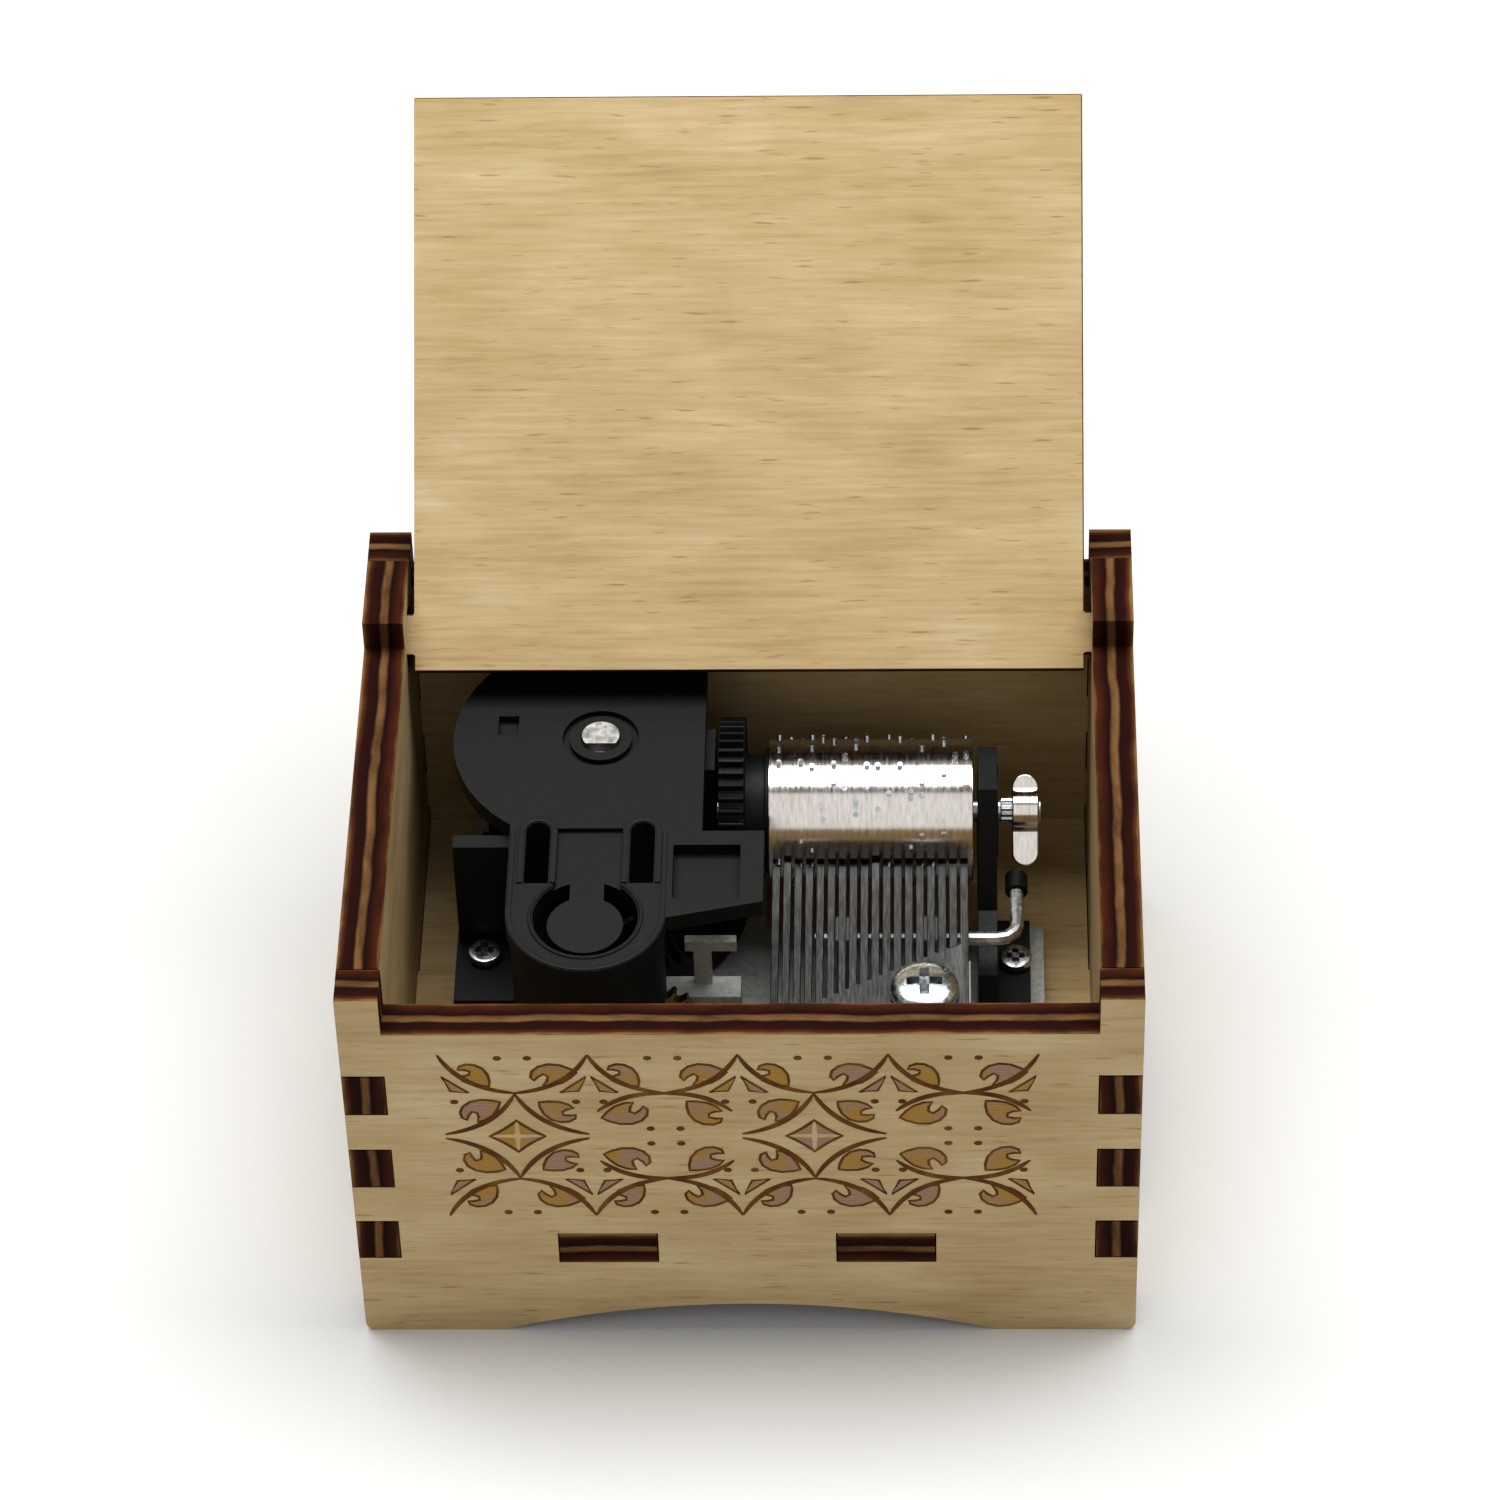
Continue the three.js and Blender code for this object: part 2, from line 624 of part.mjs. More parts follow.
function springArbor(bottom) {
  const shaft = pillar(arborX, arborY, arborRadius, bottom, housingTop + 0.4, 32);
  const hookX = arborX + arborRadius;
  const hook = block(hookX - 0.3, hookX + 0.6, arborY - 0.4, arborY + 0.4, drumBottom + 5, drumBottom + 8);
  const chopY = arborY - arborRadius * 0.62; // flat on the arbor's top end
  const chop = block(arborX - 3, arborX + 3, arborY - 3, chopY, housingTop - 0.6, housingTop + 2);
  return cut(join(shaft, hook), chop);
}

// A coiled ribbon from the arbor's hook out to the drum wall.
function mainspring() {
  const turns = 7;
  const steps = 12 * turns;
  const ribbon = 0.3;
  const first = arborRadius + 1.1;
  const last = drumRadius - drumWall - 0.5;
  const edge = (offset) => {
    const points = [];
    for (let k = 0; k <= steps; k++) {
      const radius = THREE.MathUtils.lerp(first, last, k / steps) + offset;
      const angle = (k / steps) * turns * 2 * Math.PI;
      points.push(new THREE.Vector2(arborX + radius * Math.cos(angle), arborY + radius * Math.sin(angle)));
    }
    return points;
  };
  const outline = new THREE.Shape([...edge(ribbon / 2), ...edge(-ribbon / 2).reverse()]);
  return slab(outline, drumBottom + 1.4, housingUnder - 0.8);
}

function springDrum() {
  const outer = pillar(arborX, arborY, drumRadius, drumBottom, housingUnder - seatGap, 36);
  const hollow = pillar(arborX, arborY, drumRadius - drumWall, drumBottom + drumWall, housingUnder, 36);
  const bore = pillar(arborX, arborY, arborRadius + 0.3, drumBottom - 1, drumBottom + 2);
  const axleHole = placed(
    pillar(0, 0, axleRadius + runningGap, drumRadius - 2, drumRadius + 1, 16),
    axleFrame(axleDirection, arborX, arborY, axleZ),
  );
  return cut(outer, hollow, bore, axleHole);
}

// ---------- key ----------
const keyStemRadius = 2.4;
const keyTop = floorUnderside - 0.6;
const keyBottom = 0.9;

function windingKey() {
  const half = keySpan / 2;
  const high = keyTop - 2.6;
  const wing = new THREE.Shape();
  wing.moveTo(-1.5, high);
  wing.lineTo(-2.6, high - 0.6);
  wing.quadraticCurveTo(-half, high + 0.5, -half, (high + keyBottom) / 2);
  wing.quadraticCurveTo(-half, keyBottom, -half + 3, keyBottom);
  wing.lineTo(half - 3, keyBottom);
  wing.quadraticCurveTo(half, keyBottom, half, (high + keyBottom) / 2);
  wing.quadraticCurveTo(half, high + 0.5, 2.6, high - 0.6);
  wing.lineTo(1.5, high);
  const blade = slab(wing, -keyThickness / 2, keyThickness / 2);
  const upright = axleFrame(new THREE.Vector3(0, -1, 0), arborX, arborY, 0);
  const stem = pillar(arborX, arborY, keyStemRadius, keyBottom + 1.2, keyTop, 24);
  const bore = pillar(arborX, arborY, arborRadius + 0.05, keyTop - 4, keyTop + 1, 24);
  return cut(join(placed(blade, upright), stem), bore);
}

function buildSpring() {
  const ratchetZ = crownBodyTop - 0.35 + 0.3;
  const arborBottom = keyTop - 3.8;
  addNode("crown_wheel", crownWheel(), blackPlastic);
  addNode("click_leaf", clickLeaf(ratchetZ), springSteel);
  addNode("ratchet_wheel", ratchetWheel(ratchetZ), brass);
  addNode("spring_arbor", springArbor(arborBottom), nickel);
  addNode("mainspring", mainspring(), springSteel);
  addNode("spring_drum", springDrum(), blackPlastic);
  addNode("winding_key", windingKey(), nickel);
}

// ---------- pinned cylinder ----------
const bearingFloor = 0.3;

function cylinderSleeve() {
  const end = cylinderStart + cylinderLength;
  const tube = cut(
    bar(arborY, cylinderZ, cylinderRadius, cylinderStart, end, 48),
    bar(arborY, cylinderZ, cylinderRadius - cylinderWall, cylinderStart - 1, end + 1, 24),
  );
  const pin = new THREE.CylinderGeometry(pinRadius, pinRadius, pinHeight + 0.25, 4);
  pin.translate(0, cylinderRadius + (pinHeight - 0.25) / 2, 0);
  let sleeve = tube;
  for (let track = 0; track < combTeeth; track++) {
    for (let beat = 0; beat < pinsPerTrack; beat++) {
      // Low-discrepancy spread: neighbouring tracks never share a beat.
      const turn = beat / pinsPerTrack + track * 0.381966 + 0.06 * Math.sin(5 * track + 3 * beat);
      const x = combFirstTooth + track * combPitch;
      const placedPin = pin.clone().rotateX(turn * 2 * Math.PI).translate(x, arborY, cylinderZ);
      sleeve = sleeve.add(solidOf(placedPin));
    }
  }
  return sleeve;
}

function cylinderGear() {
  const frame = axleFrame(new THREE.Vector3(1, 0, 0), 0, arborY, cylinderZ);
  const teeth = slab(toothedOutline(cylinderGearTeeth, gearTipRadius, -Math.PI / 2), gearLeft, gearRight);
  const flangeEnd = cylinderStart - seatGap;
  const plugRadius = cylinderRadius - cylinderWall - 0.1;
  const hubRadius = cylinderRadius - 1.2;
  const hub = turnedAlongX(
    [
      [0, gearRight - 0.2],
      [hubRadius, gearRight - 0.2],
      [hubRadius, flangeEnd],
      [plugRadius, flangeEnd],
      [plugRadius, cylinderStart + 1.6],
      [0, cylinderStart + 1.6],
    ],
    arborY,
    cylinderZ,
    36,
  );
  const bore = bar(arborY, cylinderZ, shaftRadius + 0.02, gearLeft - 1, cylinderStart + 3);
  return cut(join(placed(teeth, frame), hub), bore);
}

function endCap() {
  const end = cylinderStart + cylinderLength;
  const plug = bar(arborY, cylinderZ, cylinderRadius - cylinderWall - 0.1, end - 1.6, end - 0.1, 40);
  return cut(plug, bar(arborY, cylinderZ, shaftRadius + 0.02, end - 3, end + 1));
}

// Plain shaft with a ribbed grip on its right end.
function cylinderShaft() {
  const left = cheekLeft + bearingFloor + 0.1;
  const grip = new THREE.Shape();
  const ribs = 14;
  for (let k = 0; k < 2 * ribs; k++) {
    const radius = k % 2 ? shaftRadius : shaftRadius + 0.14;
    const angle = (k * Math.PI) / ribs;
    const move = k ? "lineTo" : "moveTo";
    grip[move](arborY + radius * Math.cos(angle), cylinderZ + radius * Math.sin(angle));
  }
  const plain = bar(arborY, cylinderZ, shaftRadius, left, shaftEnd, 32);
  return join(plain, sideSlab(grip, bracketRight + 0.35, shaftEnd - 0.2));
}

// Stop dog: a bent strip clipped over the shaft, its long lobe hanging towards the stop wire.
const dogReach = 4.7;

function stopDog() {
  const hub = cut(
    bar(arborY, cylinderZ, shaftRadius + 0.75, dogLeft, dogRight, 28),
    bar(arborY, cylinderZ, shaftRadius + 0.16, dogLeft - 1, dogRight + 1, 28),
  );
  const middle = (dogLeft + dogRight) / 2;
  const halfWidth = (dogRight - dogLeft) / 2;
  const lobe = (length) => {
    const strip = new THREE.Shape();
    strip.moveTo(-halfWidth, shaftRadius + 0.4);
    strip.lineTo(-halfWidth, length - halfWidth);
    strip.absarc(0, length - halfWidth, halfWidth, Math.PI, 0, true);
    strip.lineTo(halfWidth, shaftRadius + 0.4);
    return slab(strip, -0.3, 0.3, 10);
  };
  const tilt = (solid, angle) =>
    placed(solid, new THREE.Matrix4().makeRotationX(angle).setPosition(middle, arborY, cylinderZ));
  return join(hub, tilt(lobe(dogReach), (-3 * Math.PI) / 4), tilt(lobe(dogReach - 1.7), Math.PI / 4));
}

// ---------- right bracket ----------
const bracketFront = arborY - 13.4;
const shoeThickness = 1.6;
const bracketScrew = [bracketRight + 1.55, bracketFront + 5.0];
const smallShank = 0.75;
const smallHead = 1.35;

function rightBracket() {
  const foot = bedTop + seatGap;
  const cheek = sideSlab(
    [
      [bracketFront, foot],
      [arborY + 4.5, foot + 3],
      [arborY + 4.5, cylinderZ + 2],
      [arborY + 2.5, cylinderZ + 5],
      [arborY - 2.5, cylinderZ + 5],
      [arborY - 7.4, cylinderZ - 4.5],
      [bracketFront, cylinderZ - 6],
    ],
    bracketLeft,
    bracketRight,
  );
  const shoe = block(bracketLeft, bedRight - 1.2, bracketFront, bedRightBack - 1, foot, foot + shoeThickness);
  const boss = bar(arborY, cylinderZ, 3.9, bracketLeft, bracketRight + 0.1, 36);
  const bore = bar(arborY, cylinderZ, shaftRadius + runningGap, bracketLeft - 1, bracketRight + 1);
  const screwHole = pillar(...bracketScrew, smallShank + 0.1, foot - 1, foot + 3, 12);
  return cut(join(cheek, shoe, boss), bore, screwHole);
}

function buildCylinder() {
  addNode("cylinder_sleeve", cylinderSleeve(), nickel);
  addNode("cylinder_gear", cylinderGear(), blackPlastic);
  addNode("cylinder_end_cap", endCap(), blackPlastic);
  addNode("cylinder_shaft", cylinderShaft(), zincScrew);
  addNode("stop_dog", stopDog(), nickel);
  addNode("right_bracket", rightBracket(), blackPlastic);
  const shoeTop = bedTop + seatGap + shoeThickness;
  const screw = crossScrew(...bracketScrew, shoeTop + 0.1, smallHead, 0.8, smallShank, 1.7);
  addNode("bracket_screw", screw, zincScrew);
}

// ---------- housing ----------
const footTop = bedTop + 7.55;
const footInset = arborX - governorX + governorRadius - 0.1; // arbor to the foot's right side
const footBack = arborY - Math.sqrt((crownOuter + 0.22) ** 2 - footInset ** 2); // clears the crown wheel
const housingScrew = [bedLeft + 2.8, footBack - 3.1];

function housing() {
  const under = housingUnder;
  const top = housingTop;
  const flatX = arborX + housingFlat;
  const beyondFlat = block(flatX, flatX + 20, arborY - 20, arborY + 20, under - 1, top + 1);
  const lobe = cut(pillar(arborX, arborY, lobeRadius, under, top, 48), beyondFlat);
  const left = governorX - governorRadius;
  const right = governorX + governorRadius;
  const armTop = arborY - 10.8;
  const towerRadius = governorRadius - 0.25;
  const doorTop = axleZ + wheelTipRadius + 0.8; // the tower is open there for the worm wheel
  const neck = block(left, right, governorY, arborY, under, top);
  const shoulder = block(right - 1, flatX, armTop, arborY, under, top);
  const nose = pillar(governorX, governorY, governorRadius, under, top, 36);
  const arm = slab(
    [
      [right - 1, armTop],
      [armEnd, armTop],
      [armEnd, armTop - 8],
      [right - 1, armTop - 10],
    ],
    under,
    top,
  );
  const tower = cut(
    pillar(governorX, governorY, towerRadius, bedTop + seatGap, under + 0.2, 32),
    pillar(governorX, governorY, towerRadius - towerWall, bedTop, under + 0.1, 32),
    block(governorX - 1, governorX + 9, governorY - 3, governorY + 9, bedTop, doorTop),
    block(governorX - 9, governorX + 9, governorY + 1.5, governorY + 9, bedTop, doorTop),
  );
  const footFront = footBack - 8;
  const foot = block(bedLeft + 0.4, left + 0.1, footFront, footBack, bedTop + seatGap, footTop);
  const web = block(bedLeft + 0.6, left + 0.1, footBack - 1.4, footBack, footTop - 1, under + 0.2);
  const link = block(left - 0.1, left + 1, governorY - 1, footFront + 2, bedTop + seatGap, footTop - 2);
  return join(lobe, neck, shoulder, nose, arm, tower, foot, web, link);
}

// Cut-outs of the housing: bearing seat, slots, sprung tongue, arm pocket.
function housingCuts() {
  const top = housingTop;
  const under = housingUnder;
  const above = top + 1;
  const tongueHalf = 2.75;
  const discRadius = 3.1;
  const discY = governorY - 1.4;
  const ringRadius = 4.3;
  const ringY = discY + 0.9;
  const neckHalf = 1.4;
  const ring = pillar(governorX, ringY, ringRadius, under - 1, above, 40);
  const disc = pillar(governorX, discY, discRadius, under - 2, above + 1, 36);
  const neck = block(governorX - neckHalf, governorX + neckHalf, discY, ringY + 6, under - 2, above + 1);
  const crescent = cut(ring, disc, neck);
  const slotWidth = 2.0;
  const slot = (x) =>
    join(
      block(x - slotWidth / 2, x + slotWidth / 2, governorY + 3.3, governorY + 9.2, under - 1, above),
      pillar(x, governorY + 9.2, slotWidth / 2, under - 1, above, 20),
    );
  const [tongueLeft, tongueRight] = [governorX - tongueHalf, governorX + tongueHalf];
  const recess = block(tongueLeft, tongueRight, governorY + 1.5, governorY + 9.5, top - 0.4, above);
  const pocketLeft = governorX + governorRadius + 0.4;
  const pocket = block(pocketLeft, armEnd - 1.9, arborY - 18.4, arborY - 12.4, top - 1.1, above);
  const collar = cut(
    pillar(arborX, arborY, 3.2, top - 0.5, above, 32),
    pillar(arborX, arborY, 2.6, top - 1, above + 1, 32),
  );
  const keyhole = block(arborX - 8.6, arborX - 6.9, arborY + 0.4, arborY + 2.6, top - 0.7, above);
  const bore = pillar(arborX, arborY, arborRadius + runningGap, under - 1, above);
  const seat = bar(arborY, cylinderZ, shaftRadius + runningGap, cheekLeft + bearingFloor, gearLeft + 1);
  const screwHole = pillar(housingScrew[0], housingScrew[1], 0.85, bedTop, footTop + 1, 16);
  const pivot = pillar(governorX, governorY, axleRadius + runningGap, under - 1, under + 0.9, 16);
  const slots = [slot(governorX - 4.2), slot(governorX + 4.4)];
  return [crescent, ...slots, recess, pocket, collar, keyhole, bore, seat, screwHole, pivot];
}

// Bearing cheek for the cylinder's left end, between the drum and the gear.
function bearingCheek() {
  return block(cheekLeft, cheekRight, arborY - 2.4, arborY + 2.4, cylinderZ - 2.4, housingUnder + 0.2);
}

// ---------- governor ----------
const wheelThickness = 1.0;
const fanRadius = 4.6;
const fanBottom = axleZ + wheelTipRadius + 0.9;
const fanTop = housingUnder - 1.2;

function pinionOutline() {
  const crownStep = (2 * Math.PI) / crownTeeth;
  const offset = Math.round(axleAzimuth / crownStep) * crownStep - axleAzimuth;
  const gapAngle = -Math.PI / 2 + (offset * crownRadius) / pinionPitchRadius;
  return toothedOutline(pinionTeeth, pinionTipRadius, gapAngle);
}

// Axle along its own +Z, from the drum's wall to the bridge, with its pinion over the crown wheel.
function governorAxle() {
  const frame = axleFrame(axleDirection, arborX, arborY, axleZ);
  const inner = drumRadius - drumWall + 0.15;
  const axle = placed(pillar(0, 0, axleRadius, inner, bridgeReach, 16), frame);
  const pinion = placed(slab(pinionOutline(), crownRadius - crownFace / 2, crownOuter), frame);
  return join(axle, pinion);
}

function wormWheel() {
  const frame = axleFrame(axleDirection, arborX, arborY, axleZ);
  const turnPerMm = wormLead / (2 * Math.PI * wormRadius * wheelPitchRadius);
  const outline = toothedOutline(wormWheelTeeth, wheelTipRadius, Math.PI);
  const half = wheelThickness / 2;
  const outwards = new THREE.Matrix4().makeTranslation(0, 0, axleReach);
  const rim = placed(twisted(outline, -half, half, 2, turnPerMm), outwards);
  const hub = pillar(0, 0, 1.3, axleReach - 1.2, axleReach + 1.2, 20);
  const bore = pillar(0, 0, axleRadius + 0.02, axleReach - 3, axleReach + 3, 16);
  return placed(cut(join(rim, hub), bore), frame);
}

// Worm: a lobed section that turns as it rises; one crest faces the wheel's middle.
function worm() {
  const crest = wormRadius + meshDepth - 0.05;
  const core = wormRadius - 0.4;
  const sides = 12;
  const outline = new THREE.Shape();
  const facing = axleAzimuth + Math.PI / 2;
  for (let k = 0; k < sides; k++) {
    const angle = facing + (k * 2 * Math.PI) / sides;
    const share = Math.cos(wormStarts * (angle - facing));
    const radius = core + (crest - core) * Math.max(0, share) ** 3;
    outline[k ? "lineTo" : "moveTo"](radius * Math.cos(angle), radius * Math.sin(angle));
  }
  const half = 2.6;
  const thread = twisted(outline, -half, half, 20, (2 * Math.PI) / wormLead);
  const [low, high] = [bedTop - 0.6 - axleZ, housingUnder + 0.5 - axleZ];
  const shaft = join(pillar(0, 0, axleRadius, low, high, 12), thread);
  return placed(shaft, new THREE.Matrix4().makeTranslation(governorX, governorY, axleZ));
}

function governorFan() {
  const hub = pillar(governorX, governorY, 1.2, fanBottom, fanTop, 20);
  const blade = block(-fanRadius, fanRadius, -0.3, 0.3, fanBottom + 0.6, fanTop - 0.6);
  const turn = new THREE.Matrix4().makeRotationZ(Math.PI / 5).setPosition(governorX, governorY, 0);
  const bore = pillar(governorX, governorY, axleRadius + 0.02, fanBottom - 1, fanTop + 1, 12);
  return cut(join(hub, placed(blade, turn)), bore);
}

// Bearing post for the axle's outer end.
function axleBridge() {
  const frame = axleFrame(axleDirection, arborX, arborY, 0);
  const reach = bridgeReach - 0.5;
  const post = new THREE.BoxGeometry(2.4, axleZ + 1.2 - bedTop - seatGap, 1.0);
  post.translate(0, (axleZ + 1.2 + bedTop + seatGap) / 2, reach);
  const bore = pillar(0, 0, axleRadius + runningGap, reach - 2, reach + 2, 16);
  const hole = placed(bore, axleFrame(axleDirection, arborX, arborY, axleZ));
  return cut(solidOf(post.applyMatrix4(frame)), hole);
}

// Bent metal post beside the governor: base, stem and a cross bar under the housing's arm.
function trainPost() {
  const left = governorX + governorRadius - 0.6;
  const front = governorY + 3.0;
  const back = front + 2.2;
  const stemTop = bedTop + 11.75;
  const base = block(left, left + 6.3, front, front + 2.4, bedTop + seatGap, bedTop + 6.95);
  const stem = block(left + 2.4, left + 3.9, back - 0.8, back, bedTop + 6.85, stemTop);
  const crossBar = block(left + 1.7, left + 6.0, back - 0.8, back, stemTop - 0.8, stemTop + 0.4);
  return join(base, stem, crossBar);
}

function buildHousing() {
  addNode("gear_housing", cut(join(housing(), bearingCheek()), ...housingCuts()), blackPlastic);
  const [x, y] = housingScrew;
  addNode("housing_screw", crossScrew(x, y, footTop + 0.1, 1.35, 0.9, 0.75, 6.5), zincScrew);
  addNode("governor_axle", governorAxle(), zincScrew);
  addNode("worm_wheel", wormWheel(), brass);
  addNode("governor_worm", worm(), zincScrew);
  addNode("governor_fan", governorFan(), blackPlastic);
  addNode("axle_bridge", axleBridge(), castZinc);
  addNode("train_post", trainPost(), castZinc);
}

// ---------- stop wire ----------
const wireArmX = dogLeft + 0.3;
const wireBend = 1.8;
const wireArmEnd = arborY - 6.7;

function stopWire() {
  const path = new THREE.CurvePath();
  const point = (x, y) => new THREE.Vector3(x, y, wireZ);
  const bendStart = point(wireArmX - wireBend, wireY);
  const bendEnd = point(wireArmX, wireY + wireBend);
  path.add(new THREE.LineCurve3(point(holderX - 2.5, wireY), bendStart));
  path.add(new THREE.QuadraticBezierCurve3(bendStart, point(wireArmX, wireY), bendEnd));
  path.add(new THREE.LineCurve3(bendEnd, point(wireArmX, wireArmEnd)));
  const section = new THREE.Shape().absarc(0, 0, wireRadius, 0, 2 * Math.PI);
  const options = { steps: 26, extrudePath: path, bevelEnabled: false, curveSegments: 5 };
  return solidOf(new THREE.ExtrudeGeometry(section, options));
}

function stopTip() {
  const sleeve = new THREE.CylinderGeometry(0.95, 0.95, 1.9, 20).translate(wireArmX, wireArmEnd + 0.5, wireZ);
  const socket = new THREE.CylinderGeometry(wireRadius + 0.05, wireRadius + 0.05, 1.5, 20);
  return cut(solidOf(sleeve), solidOf(socket.translate(wireArmX, wireArmEnd - 0.6, wireZ)));
}

function wireHolder(x) {
  const post = block(x - 0.8, x + 0.8, wireY - 1.4, wireY + 1.4, bedTop + seatGap, wireZ + 1.3);
  return cut(post, bar(wireY, wireZ, wireRadius + runningGap, x - 2, x + 2, 20));
}

function buildStopWire() {
  addNode("stop_wire", stopWire(), zincScrew);
  addNode("stop_wire_tip", stopTip(), blackPlastic);
  addNode("wire_holder_1", wireHolder(holderX), castZinc);
  addNode("wire_holder_2", wireHolder(holderX + holderSpacing), castZinc);
}

// ---------- mounting screws, up through the floor ----------
function buildMountingScrews() {
  mountingScrews.forEach(([x, y], i) => {
    const upward = crossScrew(0, 0, 0, 2.2, 1.2, mountingScrewRadius, panel + seatGap + 1.4);
    const flip = new THREE.Matrix4().makeRotationX(Math.PI).setPosition(x, y, floorUnderside - 0.1);
    addNode("mounting_screw_" + (i + 1), placed(upward, flip), zincScrew);
  });
}

buildCase();
buildCombAndBed();
buildSpring();
buildCylinder();
buildHousing();
buildStopWire();
buildMountingScrews();

// The origin is the middle of the whole object's footprint, on the table, with the lid open.
model.updateMatrixWorld(true);
const extent = new THREE.Box3().setFromObject(model);
const centre = extent.getCenter(new THREE.Vector3());
model.position.set(-centre.x, -centre.y, -extent.min.z);

const root = new THREE.Group();
root.add(model);

export default root;
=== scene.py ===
"""Looks of a wind-up music box: an engraved birch plywood case round a key-wound comb movement.

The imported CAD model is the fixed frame. Sizes are millimetres until a mesh is finished, then metres."""

import json
import math

import bmesh
import bpy
from mathutils import Matrix, Vector


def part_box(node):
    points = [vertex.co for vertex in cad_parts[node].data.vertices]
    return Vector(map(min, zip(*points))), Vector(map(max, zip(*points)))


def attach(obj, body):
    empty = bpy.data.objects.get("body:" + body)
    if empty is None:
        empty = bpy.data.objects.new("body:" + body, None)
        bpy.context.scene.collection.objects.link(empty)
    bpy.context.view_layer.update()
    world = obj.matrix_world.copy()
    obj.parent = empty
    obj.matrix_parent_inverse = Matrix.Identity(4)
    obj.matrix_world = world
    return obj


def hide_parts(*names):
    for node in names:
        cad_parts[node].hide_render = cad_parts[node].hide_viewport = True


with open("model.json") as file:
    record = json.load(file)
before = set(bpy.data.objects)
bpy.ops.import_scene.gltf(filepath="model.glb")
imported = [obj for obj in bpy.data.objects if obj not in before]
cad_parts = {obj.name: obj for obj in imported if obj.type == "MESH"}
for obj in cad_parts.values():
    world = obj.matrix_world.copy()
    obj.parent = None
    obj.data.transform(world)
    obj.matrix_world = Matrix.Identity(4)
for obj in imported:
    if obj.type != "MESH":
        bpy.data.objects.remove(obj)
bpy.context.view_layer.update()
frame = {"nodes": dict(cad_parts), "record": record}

MM = 0.001


# ---------- places and sizes read from the frame, in millimetres ----------
def box_mm(node):
    low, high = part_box(node)
    return low / MM, high / MM


def middle_mm(node):
    low, high = box_mm(node)
    return (low + high) / 2


FRONT_FACE = box_mm("front_panel")[0].y
SLEEVE_LOW, SLEEVE_HIGH = box_mm("cylinder_sleeve")
CYLINDER_AXIS = middle_mm("cylinder_shaft")
HOUSING_TOP = box_mm("gear_housing")[1].z
ARBOR = middle_mm("spring_arbor")
COMB_LOW, COMB_HIGH = box_mm("comb")

# Pinned cylinder and comb, in the usual sizes of an 18-note movement.
COMB_TEETH = 18
COMB_PITCH = 0.92
FIRST_TOOTH = COMB_LOW.x + COMB_PITCH / 2
SLEEVE_RADIUS = 6.0
SLEEVE_WALL = 0.6
PIN_HEIGHT = 0.35
PIN_RADIUS = 0.24

# The governor's place under the housing's nose.
ARBOR_TO_GOVERNOR = 20.0
GOVERNOR_X = -12.85
GOVERNOR_Y = ARBOR.y - ARBOR_TO_GOVERNOR


# ---------- nodes and materials ----------
def colour(code):
    """A linear colour from an sRGB hex value."""
    channels = [int(code[i : i + 2], 16) / 255 for i in (1, 3, 5)]
    linear = [c / 12.92 if c <= 0.04045 else ((c + 0.055) / 1.055) ** 2.4 for c in channels]
    return (*linear, 1.0)


def add(tree, kind, inputs=None, stops=None, **settings):
    """Adds one node. inputs maps a socket's name or number to a value or to the output that feeds it."""
    node = tree.nodes.new(kind)
    for name, value in settings.items():
        setattr(node, name, value)
    for key, value in (inputs or {}).items():
        if isinstance(value, bpy.types.NodeSocket):
            tree.links.new(value, node.inputs[key])
        else:
            node.inputs[key].default_value = value
    if stops:
        elements = node.color_ramp.elements
        while len(elements) < len(stops):
            elements.new(0.5)
        for element, (position, code) in zip(elements, stops):
            element.position = position
            element.color = colour(code)
    return node


def new_material(name, roughness, metallic=0.0, specular=0.5):
    material = bpy.data.materials.new(name)
    material.use_nodes = True
    tree = material.node_tree
    shader = tree.nodes["Principled BSDF"]
    shader.inputs["Roughness"].default_value = roughness
    shader.inputs["Metallic"].default_value = metallic
    shader.inputs["Specular IOR Level"].default_value = specular
    return material, tree, shader


def set_bump(tree, shader, height, distance_mm, strength=1.0):
    inputs = {"Height": height, "Distance": distance_mm * MM, "Strength": strength}
    bump = add(tree, "ShaderNodeBump", inputs)
    tree.links.new(bump.outputs["Normal"], shader.inputs["Normal"])


